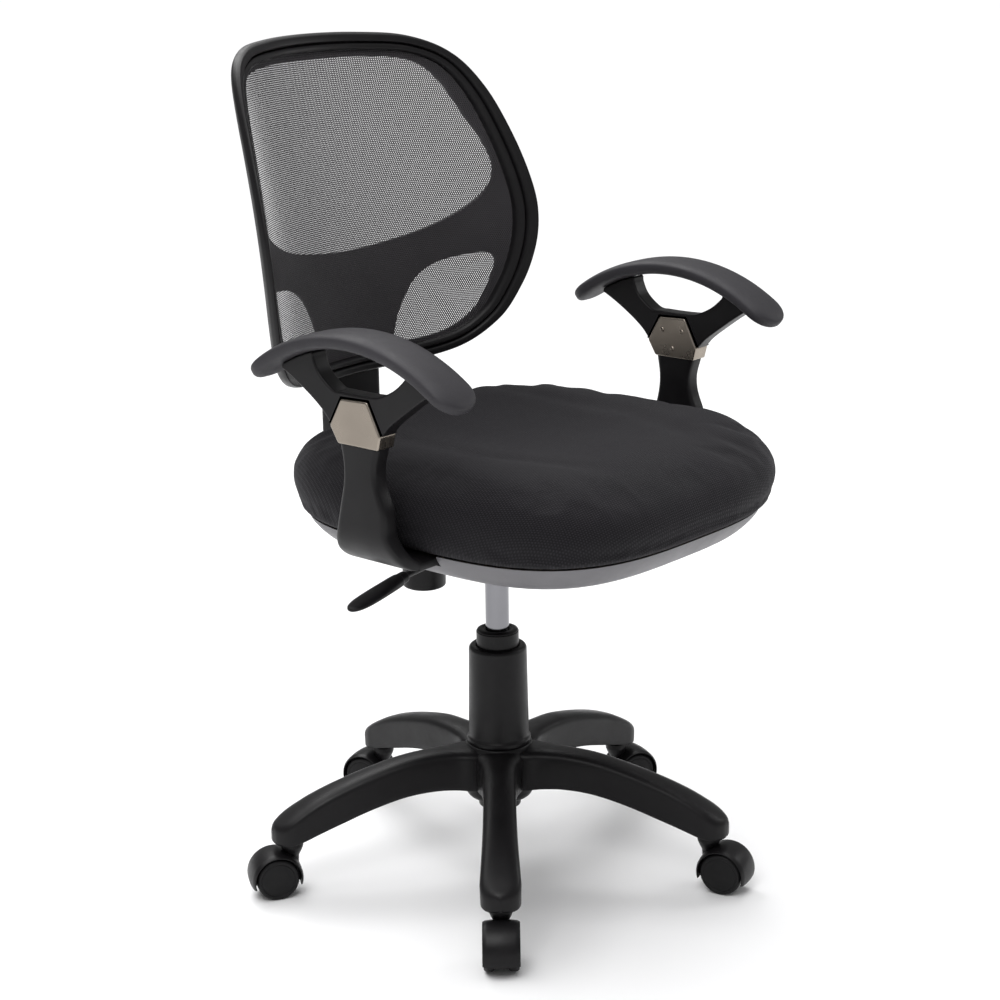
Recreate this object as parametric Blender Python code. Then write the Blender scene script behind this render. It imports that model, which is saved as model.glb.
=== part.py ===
"""Swivel office chair with a mesh back, fixed arms and a five-star base on twin-wheel casters.

Metres, +Z up. The gas column stands on the Z axis, the floor is z = 0, the sitter faces -Y
and the sitter's right hand is on the -X side, where the height lever is.
"""
import math

import bmesh
import bpy
from mathutils import Matrix, Vector

# ---------------------------------------------------------------- driving sizes
GAP = 0.0003            # clearance left between two pieces that touch
SLIP = 0.0005           # clearance round a piece that turns or slides

# casters
WHEEL_R = 0.025
WHEEL_W = 0.0117
WHEEL_SPACING = 0.0158  # clear width between the two wheels
TREAD_CHAMFER = 0.002
WHEEL_SIDES = 20
HOOD_OVER_TREAD = 0.006
HOOD_R = WHEEL_R + HOOD_OVER_TREAD
HOOD_WALL = 0.0025
HOOD_CROWN = 4.0        # how fast the hood narrows towards its open sides, 1/m
CASTER_TRAIL = 0.021
AXLE_R = 0.003
STEM_R = 0.0055
STEM_IN_SOCKET = 0.028
CASTER_TURNS_DEG = (0, -9, -28, 28, 0)

# star base
LEG_COUNT = 5
FIRST_LEG_DEG = -49.0   # heading of the leg nearest the sitter's right foot, from -Y
STEM_CIRCLE_R = 0.256
BOSS_R = 0.023
BOSS_OVER_HOOD = 0.010   # clear height from the hood's crown to the caster boss
BOSS_H = 0.025
BOSS_BOTTOM_Z = WHEEL_R + HOOD_R + BOSS_OVER_HOOD
BOSS_TOP_Z = BOSS_BOTTOM_Z + BOSS_H
LEG_WALL = 0.005
HUB_R = 0.040
HUB_BOTTOM_Z = 0.088
HUB_TOP_Z = 0.156

# gas column
TUBE_R = 0.025
TUBE_WALL = 0.0015
TUBE_BOTTOM_Z = 0.075
TUBE_TOP_Z = 0.293
BUSH_WALL = 0.0065
COVER_TOP_Z = 0.276
COVER_TOP_R = 0.034
COVER_BOTTOM_R = 0.0355
COVER_WALL = 0.003
CYLINDER_R = 0.014
CYLINDER_WALL = 0.0018
CYLINDER_BOTTOM_Z = 0.180
CYLINDER_TOP_Z = 0.394
ROD_R = 0.004
PISTON_H = 0.012
VALVE_R = 0.004
VALVE_PROUD = 0.007
GLAND_H = 0.012
HEIGHT_UP = 0.040       # how far the seat still rises from here

# tilt mechanism under the seat
MECH_W = 0.084
MECH_FRONT_Y = -0.070
MECH_REAR_Y = 0.147
MECH_BOTTOM_Z = 0.374
MECH_WALL = 0.003
TILT_Y = -0.055
TILT_Z = 0.4300
TILT_R = 0.005
TILT_MAX_DEG = 8.0
SEAT_PLATE_W = 0.150
SEAT_PLATE_T = 0.004
LUG_R = 0.012
KNOB_Y = 0.1155
KNOB_R = 0.026
KNOB_BOTTOM_Z = 0.324
SCREW_R = 0.005
SPRING_R = 0.016
SPRING_WIRE_R = 0.0024
SPRING_TURNS = 4
CUP_R = 0.020
CUP_H = 0.005
CUP_TRAVEL = 0.012

# height and lock lever
LEVER_Y = 0.014
LEVER_Z = 0.4065
LEVER_ROD_R = 0.0035
LEVER_BUSH_R = 0.0085
LEVER_BUSH_LEN = 0.030
PADDLE_ROOT_X = -0.146
PADDLE_TIP_X = -0.240
PADDLE_W = 0.026
PADDLE_T = 0.010
LEVER_BEND_DROP = 0.012  # fall of the rod's outer end, clear of the pan when it tilts
LEVER_DROOP = 0.026     # fall of the paddle's tip below the rod's pivot
PADDLE_SHIFT_Y = 0.006  # the rod's outer end lies this much nearer the front

# seat
SEAT_Y = -0.060
SEAT_HALF_W = 0.245
SEAT_HALF_D = 0.250
SEAT_BASE_Z = 0.4590    # underside of cushion and board
SEAT_TOP_Z = 0.5470
SEAT_DISH = 0.006
SEAT_FRONT_DROP = 0.022
BOARD_T = 0.012
BOARD_INSET = 0.030
PAN_INSET = 0.0225
PAN_BOTTOM_Z = 0.4180     # leaves the lever its room at full tilt
PAN_WALL = 0.003
PAN_OPEN_HALF_W = 0.080
PAN_REAR_LIP = 0.111     # from the cushion's rear edge to the opening round the mechanism
PAN_CLEARANCE = 0.026   # room in front of the mechanism for the tilt

# back
BACK_LEAN_Y = 0.208     # front of the back on the centre line at its most forward point
BACK_LEAN_Z = 0.640
BACK_BOTTOM_Z = 0.572
BACK_CURVE = 0.617      # lengthwise curvature, 1/m
BACK_WRAP_R = 0.309     # radius of the wrap round the sitter's sides
RIM_DEPTH = 0.018
RIM_BAND = 0.011
RIM_GROOVE = 0.0015
CARRIER_BAND = 0.008
CARRIER_DEPTH = 0.0115
MESH_T = 0.001
WEB_T = 0.0045
WEB_CLEARANCE = 0.0014  # the web's facets bow forward a little between its stations
BAR_W = 0.060
BAR_T = 0.006
BAR_TOP_Z = 0.655
BAR_BEND_R = 0.030
BAR_FRONT_Y = 0.040
SPINE_COVER_HALF_W = 0.042
SPINE_COVER_WALL = 0.003

# arms
ARM_OUTSET = 0.027      # from the cushion's widest edge to the centre plane of each arm
ARM_X = SEAT_HALF_W + ARM_OUTSET
ARM_T = 0.021
JUNCTION_T = 0.025
ARM_FOOT_T = 0.012
ARM_FOOT_HALF = 0.049
ARM_FOOT_REACH_X = 0.100
PAD_W = 0.056
PAD_T = 0.018
PAD_REAR = (0.081, 0.6440)
PAD_FRONT = (-0.192, 0.6445)
PAD_SAG = 0.0472

COLOURS = {
    "nylon": ((0.022, 0.021, 0.023), 0.42, 0.0),
    "polyurethane": ((0.035, 0.034, 0.037), 0.55, 0.0),
    "tread": ((0.018, 0.018, 0.019), 0.60, 0.0),
    "black_paint": ((0.015, 0.015, 0.016), 0.35, 0.0),
    "steel": ((0.45, 0.45, 0.46), 0.30, 1.0),
    "chrome": ((0.75, 0.75, 0.77), 0.12, 1.0),
    "champagne": ((0.42, 0.38, 0.33), 0.32, 1.0),
    "pan_plastic": ((0.16, 0.16, 0.165), 0.50, 0.0),
    "knit": ((0.012, 0.011, 0.014), 0.90, 0.0),
    "mesh": ((0.10, 0.095, 0.10), 0.80, 0.0),
    "board": ((0.36, 0.24, 0.13), 0.70, 0.0),
}


# ---------------------------------------------------------------- shared tools
def clear_scene():
    for ob in list(bpy.data.objects):
        bpy.data.objects.remove(ob, do_unlink=True)


def finish_of(slot):
    """The Principled material of one finish, made once."""
    found = bpy.data.materials.get(slot)
    if found:
        return found
    colour, roughness, metallic = COLOURS[slot]
    material = bpy.data.materials.new(slot)
    material.use_nodes = True
    shader = material.node_tree.nodes["Principled BSDF"]
    shader.inputs["Base Color"].default_value = (*colour, 1.0)
    shader.inputs["Roughness"].default_value = roughness
    shader.inputs["Metallic"].default_value = metallic
    return material


def place(name, bm, slot, smooth_deg=35.0):
    """Turn a bmesh into a named object of one finish."""
    bmesh.ops.recalc_face_normals(bm, faces=bm.faces)
    mesh = bpy.data.meshes.new(name)
    bm.to_mesh(mesh)
    bm.free()
    mesh.materials.append(finish_of(slot))
    mesh.shade_smooth()
    mesh.set_sharp_from_angle(angle=math.radians(smooth_deg))
    ob = bpy.data.objects.new(name, mesh)
    bpy.context.scene.collection.objects.link(ob)
    return ob


def skin(rings, ring_closed=True, path_closed=False):
    """Join rings of equal length with quads; an open path gets a flat cap at both ends."""
    bm = bmesh.new()
    loops = [[bm.verts.new(p) for p in ring] for ring in rings]
    count = len(loops[0])
    pairs = list(zip(loops, loops[1:]))
    if path_closed:
        pairs.append((loops[-1], loops[0]))
    steps = count if ring_closed else count - 1
    for low, high in pairs:
        for i in range(steps):
            j = (i + 1) % count
            bm.faces.new((low[i], low[j], high[j], high[i]))
    if not path_closed:
        bm.faces.new(loops[0])
        bm.faces.new(loops[-1])
    return bm


def turned(profile, sides, hollow=False, phase=0.0):
    """Body of revolution about Z; a hollow profile is a closed loop that stays off the axis."""
    rings = []
    for r, z in profile:
        ring = []
        for i in range(sides):
            a = 2.0 * math.pi * (i + phase) / sides
            ring.append((r * math.cos(a), r * math.sin(a), z))
        rings.append(ring)
    return skin(rings, path_closed=hollow)


def plate(outline, thickness):
    """Extrude a flat outline in the XY plane upwards by the thickness."""
    bm = bmesh.new()
    face = bm.faces.new([bm.verts.new((x, y, 0.0)) for x, y in outline])
    grown = bmesh.ops.extrude_face_region(bm, geom=[face])
    lifted = [v for v in grown["geom"] if isinstance(v, bmesh.types.BMVert)]
    bmesh.ops.translate(bm, verts=lifted, vec=(0.0, 0.0, thickness))
    return bm


def block(low, high):
    """Box between two corners."""
    bm = bmesh.new()
    size = [b - a for a, b in zip(low, high)]
    mid = [(a + b) / 2.0 for a, b in zip(low, high)]
    bmesh.ops.create_cube(bm, size=1.0)
    bmesh.ops.scale(bm, verts=bm.verts, vec=size)
    bmesh.ops.translate(bm, verts=bm.verts, vec=mid)
    return bm


def moved(bm, matrix):
    bmesh.ops.transform(bm, matrix=matrix, verts=bm.verts)
    return bm


def bevelled(ob, width, segments=1, angle_deg=40.0):
    mod = ob.modifiers.new("soft edges", "BEVEL")
    mod.width = width
    mod.segments = segments
    mod.limit_method = "ANGLE"
    mod.angle_limit = math.radians(angle_deg)
    return ob


def guide(name, bm, slot):
    """A body that only shapes others and isn't a piece of the chair."""
    ob = place(name, bm, slot)
    ob.hide_render = True
    ob.display_type = "WIRE"
    return ob


def combine(ob, tool, operation):
    """Join, cut or trim one object by another."""
    mod = ob.modifiers.new(operation.lower(), "BOOLEAN")
    mod.object = tool
    mod.operation = operation
    mod.solver = "EXACT"
    return ob


def boolean(ob, other_bm, operation):
    """Join, cut or trim an object by a body made for it alone."""
    return combine(ob, guide(ob.name + "_guide", other_bm, ob.data.materials[0].name), operation)


def smooth_run(points, steps):
    """Points of a Catmull-Rom curve through a few control points."""
    run = []
    for i in range(len(points) - 1):
        p1, p2 = Vector(points[i]), Vector(points[i + 1])
        p0 = Vector(points[i - 1]) if i > 0 else 2 * p1 - p2
        p3 = Vector(points[i + 2]) if i + 2 < len(points) else 2 * p2 - p1
        for s in range(steps):
            t = s / steps
            run.append(0.5 * (2 * p1 + (p2 - p0) * t + (2 * p0 - 5 * p1 + 4 * p2 - p3) * t ** 2
                              + (3 * p1 - p0 - 3 * p2 + p3) * t ** 3))
    run.append(Vector(points[-1]))
    return run


def leg_heading(i):
    """Unit vector of leg i in plan."""
    a = math.radians(FIRST_LEG_DEG + 360.0 * i / LEG_COUNT)
    return Vector((math.sin(a), -math.cos(a), 0.0))


def facing(heading, at):
    """Frame whose +X runs along a heading in plan, set at a point."""
    turn = Matrix.Rotation(math.atan2(heading.y, heading.x), 4, "Z")
    return Matrix.Translation(at) @ turn


# ---------------------------------------------------------------- star base
def leg_rings():
    """Cross-sections of one leg along +X: an upside-down channel that narrows and drops."""
    stations = ((0.030, 0.153, 0.106, 0.0200), (0.080, 0.1530, 0.1075, 0.0190),
                (0.120, 0.1490, 0.1055, 0.0190), (0.160, 0.1395, 0.0965, 0.0190),
                (0.200, 0.1270, 0.0840, 0.0200), (0.232, 0.1140, 0.0735, 0.0215),
                (0.252, 0.1040, 0.0680, 0.0222))
    rings = []
    for x, top, low, half in stations:
        shoulder = top - 0.008
        inner = half - LEG_WALL
        roof = top - 0.009
        rings.append([(x, -half, low), (x, -half, shoulder), (x, -half * 0.62, top - 0.0015),
                      (x, 0.0, top), (x, half * 0.62, top - 0.0015), (x, half, shoulder),
                      (x, half, low), (x, inner, low), (x, inner, roof - 0.006),
                      (x, inner * 0.6, roof), (x, -inner * 0.6, roof), (x, -inner, roof - 0.006),
                      (x, -inner, low)])
    return rings


def star_base():
    """Moulded nylon star: hub, five arched channel legs and the sockets for the stems."""
    hub = [(HUB_R - 0.004, HUB_BOTTOM_Z), (HUB_R, HUB_BOTTOM_Z + 0.004),
           (HUB_R, HUB_TOP_Z - 0.004), (HUB_R - 0.004, HUB_TOP_Z)]
    ob = place("star_base", turned(hub, 28), "nylon")
    for i in range(LEG_COUNT):
        heading = leg_heading(i)
        boolean(ob, moved(skin(leg_rings()), facing(heading, (0, 0, 0))), "UNION")
        boss = [(BOSS_R - 0.003, BOSS_BOTTOM_Z), (BOSS_R, BOSS_BOTTOM_Z + 0.004),
                (BOSS_R, BOSS_TOP_Z), (BOSS_R - 0.002, BOSS_TOP_Z + 0.006),
                (BOSS_R - 0.007, BOSS_TOP_Z + 0.010)]
        at = heading * STEM_CIRCLE_R
        boolean(ob, moved(turned(boss, 20), Matrix.Translation(at)), "UNION")
    for i in range(LEG_COUNT):
        socket = [(STEM_R + SLIP, BOSS_BOTTOM_Z - 0.01),
                  (STEM_R + SLIP, BOSS_BOTTOM_Z + STEM_IN_SOCKET + SLIP)]
        at = leg_heading(i) * STEM_CIRCLE_R
        boolean(ob, moved(turned(socket, 12), Matrix.Translation(at)), "DIFFERENCE")
    bore = [(TUBE_R + GAP, HUB_BOTTOM_Z - 0.02), (TUBE_R + GAP, HUB_TOP_Z + 0.02)]
    return boolean(ob, turned(bore, 28), "DIFFERENCE")


# ---------------------------------------------------------------- casters
def caster_frame(i):
    """Frame at the stem of caster i on the floor, +X along its trail."""
    trail = Matrix.Rotation(math.radians(CASTER_TURNS_DEG[i]), 3, "Z") @ leg_heading(i)
    return facing(trail, leg_heading(i) * STEM_CIRCLE_R)


def barrel_radius(y):
    """Outer radius of the hood at a distance from its middle plane."""
    return HOOD_R - HOOD_CROWN * y * y


def caster_housing(i):
    """Hood over the wheels with the web between them and the collar for the stem."""
    frame = caster_frame(i)
    half = WHEEL_SPACING / 2 + WHEEL_W + 0.0010
    first, last, steps = math.radians(-17.0), math.radians(197.0), 8
    offsets = (-half, 0.0, half)
    rings = []
    for s in range(steps + 1):
        a = first + (last - first) * s / steps
        outer = [(barrel_radius(y), y) for y in offsets]
        inner = [(barrel_radius(y) - HOOD_WALL, y) for y in reversed(offsets)]
        rings.append([(CASTER_TRAIL + r * math.cos(a), y, WHEEL_R + r * math.sin(a))
                      for r, y in outer + inner])
    ob = place(f"caster_{i + 1}_housing", moved(skin(rings), frame), "nylon")
    web_half = WHEEL_SPACING / 2 - SLIP
    web = []
    inset = math.radians(2.0)
    for s in range(steps + 2):
        a = first + inset + (last - first - 2 * inset) * s / (steps + 1)
        web.append((CASTER_TRAIL + (HOOD_R - 0.001) * math.cos(a),
                    WHEEL_R + (HOOD_R - 0.001) * math.sin(a)))
    upright = Matrix.Rotation(math.radians(90.0), 4, "X")
    core = moved(plate(web, 2 * web_half), Matrix.Translation((0, web_half, 0)) @ upright)
    boolean(ob, moved(core, frame), "UNION")
    collar = [(0.0068, WHEEL_R + 0.005), (0.0078, WHEEL_R + 0.020),
              (0.0135, BOSS_BOTTOM_Z - 0.0095),
              (0.0135, BOSS_BOTTOM_Z - SLIP)]
    boolean(ob, moved(turned(collar, 16), frame), "UNION")
    stem_hole = [(STEM_R + GAP, WHEEL_R + 0.013 - GAP), (STEM_R + GAP, BOSS_BOTTOM_Z + 0.01)]
    boolean(ob, moved(turned(stem_hole, 12), frame), "DIFFERENCE")
    axle_hole = moved(turned([(AXLE_R + SLIP, -0.02), (AXLE_R + SLIP, 0.02)], 12), axle_place())
    return boolean(ob, moved(axle_hole, frame), "DIFFERENCE")


def axle_place():
    """From the Z axis to the caster's axle line, across the wheels."""
    across = Matrix.Rotation(math.radians(-90.0), 4, "X")
    return Matrix.Translation((CASTER_TRAIL, 0, WHEEL_R)) @ across


def caster_stem(i):
    top = BOSS_BOTTOM_Z + STEM_IN_SOCKET
    stem = [(STEM_R - 0.001, WHEEL_R + 0.013), (STEM_R, WHEEL_R + 0.014), (STEM_R, top - 0.0015),
            (STEM_R - 0.0015, top)]
    return place(f"caster_{i + 1}_stem", moved(turned(stem, 12), caster_frame(i)), "steel")


def caster_axle(i):
    half = WHEEL_SPACING / 2 + WHEEL_W * 0.6
    pin = [(AXLE_R, -half), (AXLE_R, half)]
    bm = moved(turned(pin, 12), caster_frame(i) @ axle_place())
    return place(f"caster_{i + 1}_axle", bm, "steel")


def caster_wheel(i, side):
    """One wheel, moulded with a blind bore on its inner side; side is -1 or +1."""
    inner = WHEEL_SPACING / 2
    outer = inner + WHEEL_W
    bore = AXLE_R + GAP
    reach = WHEEL_SPACING / 2 + WHEEL_W * 0.6 + GAP
    tread = WHEEL_R / math.cos(math.pi / WHEEL_SIDES)
    profile = [(bore, reach), (bore, inner), (tread - TREAD_CHAMFER, inner),
               (tread, inner + TREAD_CHAMFER), (tread, outer - TREAD_CHAMFER),
               (tread - TREAD_CHAMFER, outer)]
    bm = turned(profile, WHEEL_SIDES, phase=0.5)
    if side < 0:
        moved(bm, Matrix.Rotation(math.pi, 4, "X"))
    word = "left" if side < 0 else "right"
    bm = moved(bm, caster_frame(i) @ axle_place())
    return place(f"caster_{i + 1}_wheel_{word}", bm, "tread")


# ---------------------------------------------------------------- gas column
def gas_column():
    """Outer tube pressed in the star, closed by a floor that the rod is clipped to."""
    inner = TUBE_R - TUBE_WALL
    profile = [(ROD_R + SLIP, TUBE_BOTTOM_Z), (TUBE_R, TUBE_BOTTOM_Z), (TUBE_R, TUBE_TOP_Z),
               (inner, TUBE_TOP_Z), (inner, TUBE_BOTTOM_Z + 0.004),
               (ROD_R + SLIP, TUBE_BOTTOM_Z + 0.004)]
    return place("gas_column", turned(profile, 28, hollow=True), "black_paint")


def column_bush():
    """Plastic guide bush inside the tube's mouth, in which the cylinder slides and turns."""
    outer = TUBE_R - TUBE_WALL - GAP
    inner = CYLINDER_R + SLIP
    low = TUBE_TOP_Z - 0.075
    profile = [(inner, low), (outer, low), (outer, TUBE_TOP_Z + GAP),
               (TUBE_R - 0.0008, TUBE_TOP_Z + GAP), (TUBE_R - 0.0008, TUBE_TOP_Z + 0.003),
               (inner, TUBE_TOP_Z + 0.003)]
    return place("column_bush", turned(profile, 24, hollow=True), "nylon")


def column_cover():
    """Plastic sleeve that stands on the hub round the tube."""
    low = HUB_TOP_Z + GAP
    top_in = TUBE_R + GAP
    profile = [(COVER_BOTTOM_R - COVER_WALL, low), (COVER_BOTTOM_R + 0.0025, low),
               (COVER_BOTTOM_R + 0.0025, low + 0.005), (COVER_BOTTOM_R, low + 0.008),
               (COVER_TOP_R, COVER_TOP_Z - 0.003), (COVER_TOP_R - 0.003, COVER_TOP_Z),
               (top_in, COVER_TOP_Z), (top_in, COVER_TOP_Z - 0.004),
               (COVER_TOP_R - COVER_WALL, COVER_TOP_Z - 0.006)]
    return place("column_cover", turned(profile, 28, hollow=True), "nylon")


def piston_rod():
    """Rod of the gas spring with its piston, held at the bottom of the outer tube."""
    low = TUBE_BOTTOM_Z - 0.008
    piston_z = CYLINDER_BOTTOM_Z + GLAND_H + HEIGHT_UP + 0.003
    bore = CYLINDER_R - CYLINDER_WALL
    profile = [(ROD_R, low), (ROD_R, piston_z), (bore - SLIP, piston_z),
               (bore - SLIP, piston_z + PISTON_H), (ROD_R, piston_z + PISTON_H),
               (ROD_R, piston_z + PISTON_H + 0.004)]
    return place("piston_rod", turned(profile, 24), "steel")


def thrust_bearing():
    """Ball thrust race on the tube's floor, round the rod."""
    low = TUBE_BOTTOM_Z + 0.004 + GAP
    profile = [(ROD_R + GAP, low), (0.0125, low), (0.0125, low + 0.003), (0.0110, low + 0.0045),
               (0.0125, low + 0.006), (0.0125, low + 0.009), (ROD_R + GAP, low + 0.009)]
    return place("thrust_bearing", turned(profile, 24, hollow=True), "steel")


def gas_cylinder():
    """Bright cylinder that rises out of the column, with its tapered head in the mechanism."""
    bore = CYLINDER_R - CYLINDER_WALL
    valve = VALVE_R + SLIP
    roof = CYLINDER_TOP_Z - 0.012
    profile = [(bore, CYLINDER_BOTTOM_Z), (CYLINDER_R, CYLINDER_BOTTOM_Z),
               (CYLINDER_R, CYLINDER_TOP_Z - 0.003), (CYLINDER_R - 0.002, CYLINDER_TOP_Z),
               (valve, CYLINDER_TOP_Z), (valve, roof), (bore, roof)]
    return place("gas_cylinder", turned(profile, 24, hollow=True), "chrome")


def rod_gland():
    """Seal and guide that closes the cylinder round the rod."""
    outer = CYLINDER_R - CYLINDER_WALL - GAP
    low = CYLINDER_BOTTOM_Z
    profile = [(ROD_R + SLIP, low), (outer, low), (outer, low + GLAND_H),
               (ROD_R + SLIP, low + GLAND_H)]
    return place("rod_gland", turned(profile, 24, hollow=True), "nylon")


def valve_pin():
    """Release button in the cylinder's head, under the lever."""
    low = CYLINDER_TOP_Z - 0.010
    top = CYLINDER_TOP_Z + VALVE_PROUD
    return place("valve_pin", turned([(VALVE_R, low), (VALVE_R, top)], 16), "steel")


# ---------------------------------------------------------------- tilt mechanism
def mech_wall_top(y):
    """Height of the housing's side walls, which fall back to clear the tilting plate."""
    fall = math.tan(math.radians(TILT_MAX_DEG + 2.0))
    return SEAT_BASE_Z - SEAT_PLATE_T - BAR_T - 0.004 - max(0.0, y - TILT_Y) * fall


def mechanism_housing():
    """Pressed steel tray fixed on the cylinder's head; it carries axle, lever and knob."""
    half = MECH_W / 2
    tray = [(y, mech_wall_top(y)) for y in (MECH_REAR_Y, TILT_Y, MECH_FRONT_Y)]
    tray += [(MECH_FRONT_Y, MECH_BOTTOM_Z), (MECH_REAR_Y, MECH_BOTTOM_Z)]
    across = Matrix(((0, 0, 1, -half), (1, 0, 0, 0), (0, 1, 0, 0), (0, 0, 0, 1)))
    ob = place("mechanism_housing", moved(plate(tray, MECH_W), across), "black_paint")
    hollow = block((-half + MECH_WALL, MECH_FRONT_Y + MECH_WALL, MECH_BOTTOM_Z + MECH_WALL),
                   (half - MECH_WALL, MECH_REAR_Y - MECH_WALL, SEAT_TOP_Z))
    boolean(ob, hollow, "DIFFERENCE")
    socket = [(CYLINDER_R + 0.006, MECH_BOTTOM_Z - 0.006), (CYLINDER_R + 0.006, 0.388)]
    boolean(ob, turned(socket, 20), "UNION")
    bore = [(CYLINDER_R + GAP, 0.30), (CYLINDER_R + GAP, 0.42)]
    boolean(ob, turned(bore, 24), "DIFFERENCE")
    axle = moved(turned([(TILT_R + GAP, -half - 0.01), (TILT_R + GAP, half + 0.01)], 20),
                 tilt_place())
    boolean(ob, axle, "DIFFERENCE")
    screw = moved(turned([(SCREW_R + SLIP, 0.30), (SCREW_R + SLIP, 0.38)], 20),
                  Matrix.Translation((0, KNOB_Y, 0)))
    boolean(ob, screw, "DIFFERENCE")
    port = moved(turned([(LEVER_BUSH_R + SLIP, 0.02), (LEVER_BUSH_R + SLIP, 0.06)], 20),
                 lever_place())
    return boolean(ob, port, "DIFFERENCE")


def tilt_place():
    """From the Z axis to the tilt axle's line, along X."""
    return Matrix.Translation((0, TILT_Y, TILT_Z)) @ Matrix.Rotation(math.pi / 2, 4, "Y")


def lever_place():
    """From the Z axis to the lever's line, +Z running out to the sitter's right (-X)."""
    return Matrix.Translation((0, LEVER_Y, LEVER_Z)) @ Matrix.Rotation(-math.pi / 2, 4, "Y")


def lug_x():
    """Inner face of the seat plate's lugs, outside the housing's walls."""
    return MECH_W / 2 + SLIP


def tilt_axle():
    half = lug_x() + SEAT_PLATE_T + 0.003
    pin = [(TILT_R - 0.001, -half), (TILT_R, -half + 0.001), (TILT_R, half - 0.001),
           (TILT_R - 0.001, half)]
    return place("tilt_axle", moved(turned(pin, 20), tilt_place()), "steel")


def seat_plate():
    """Top plate of the mechanism, bolted under the board, with two lugs on the axle."""
    top = SEAT_BASE_Z - GAP
    half = SEAT_PLATE_W / 2
    bm = block((-half, MECH_FRONT_Y - 0.015, top - SEAT_PLATE_T), (half, MECH_REAR_Y + 0.01, top))
    ob = place("seat_plate", bm, "black_paint")
    for side in (-1, 1):
        rise = top - SEAT_PLATE_T / 2 - TILT_Z
        lug = [(LUG_R * math.cos(math.pi + math.pi * s / 8),
                LUG_R * math.sin(math.pi + math.pi * s / 8)) for s in range(9)]
        lug += [(LUG_R + 0.006, rise), (-LUG_R - 0.006, rise)]
        low_x = lug_x() if side > 0 else -lug_x() - SEAT_PLATE_T
        across = Matrix(((0, 0, 1, low_x), (1, 0, 0, TILT_Y), (0, 1, 0, TILT_Z), (0, 0, 0, 1)))
        boolean(ob, moved(plate(lug, SEAT_PLATE_T), across), "UNION")
    reach = lug_x() + 0.02
    hole = moved(turned([(TILT_R + SLIP, -reach), (TILT_R + SLIP, reach)], 20), tilt_place())
    return boolean(ob, hole, "DIFFERENCE")


def spring_base_z():
    """Top of the spring's cup at its lowest setting."""
    return MECH_BOTTOM_Z + MECH_WALL + 0.001 + CUP_H


def spring_cup():
    """Threaded cup that climbs the knob's screw and loads the spring."""
    top = spring_base_z()
    profile = [(SCREW_R + SLIP, top - CUP_H), (CUP_R, top - CUP_H), (CUP_R, top + 0.003),
               (CUP_R - 0.0012, top + 0.003), (CUP_R - 0.0012, top), (SCREW_R + SLIP, top)]
    bm = turned(profile, 20, hollow=True)
    return place("spring_cup", moved(bm, Matrix.Translation((0, KNOB_Y, 0))), "steel")


def tilt_spring():
    """Coil spring between the cup and the back bar under the seat."""
    low = spring_base_z() + SPRING_WIRE_R + GAP
    high = bar_low_z() - SPRING_WIRE_R - GAP
    across, along = 6, 12 * SPRING_TURNS
    rings = []
    for s in range(along + 1):
        t = s / along
        a = 2 * math.pi * SPRING_TURNS * t
        rise = (high - low) / (2 * math.pi * SPRING_TURNS * SPRING_R)
        out = Vector((math.cos(a), math.sin(a), 0))
        run = Vector((-math.sin(a), math.cos(a), rise)).normalized()
        up = out.cross(run)
        centre = Vector((0, KNOB_Y, low + (high - low) * t)) + out * SPRING_R
        rings.append([centre + SPRING_WIRE_R * (out * math.cos(2 * math.pi * k / across)
                                                + up * math.sin(2 * math.pi * k / across))
                      for k in range(across)])
    return place("tilt_spring", skin(rings), "steel")


def tension_knob():
    """Moulded grip under the housing, turned to set how hard the chair is to lean back."""
    top = MECH_BOTTOM_Z - SLIP
    profile = [(KNOB_R - 0.004, KNOB_BOTTOM_Z), (KNOB_R - 0.001, KNOB_BOTTOM_Z + 0.0015),
               (KNOB_R, KNOB_BOTTOM_Z + 0.005), (KNOB_R, top - 0.002), (KNOB_R - 0.002, top),
               (SCREW_R + GAP, top), (SCREW_R + GAP, KNOB_BOTTOM_Z + 0.010)]
    bm = turned(profile, 24)
    return place("tension_knob", moved(bm, Matrix.Translation((0, KNOB_Y, 0))), "nylon")


def tension_screw():
    """Screw moulded in the knob, up through the housing and the cup."""
    profile = [(SCREW_R, KNOB_BOTTOM_Z + 0.010 + GAP), (SCREW_R, spring_base_z() + CUP_TRAVEL + 0.010)]
    bm = turned(profile, 20)
    return place("tension_screw", moved(bm, Matrix.Translation((0, KNOB_Y, 0))), "steel")


# ---------------------------------------------------------------- lever
def pivot_x():
    """Distance of the lever's pivot from the column, in the housing's side wall."""
    return MECH_W / 2 - MECH_WALL / 2


def lever_bush():
    """Flanged plastic bush that slides in the housing's wall and carries the lever's pivot."""
    low = pivot_x() - LEVER_BUSH_LEN / 2
    bore = LEVER_ROD_R + 0.0016
    profile = [(bore, low), (LEVER_BUSH_R, low), (LEVER_BUSH_R, low + LEVER_BUSH_LEN),
               (bore, low + LEVER_BUSH_LEN)]
    return place("lever_bush", moved(turned(profile, 20, hollow=True), lever_place()), "nylon")


def lever_path():
    """Centre line of the lever's rod, from over the valve pin out to the paddle."""
    bend = pivot_x() + LEVER_BUSH_LEN / 2 + 0.002
    return [(VALVE_R * 3, LEVER_Y, LEVER_Z), (-bend, LEVER_Y, LEVER_Z),
            (-bend - 0.024, LEVER_Y - 0.001, LEVER_Z - LEVER_BEND_DROP * 0.75),
            (PADDLE_ROOT_X - 0.004, LEVER_Y - PADDLE_SHIFT_Y, LEVER_Z - LEVER_BEND_DROP)]


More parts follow.
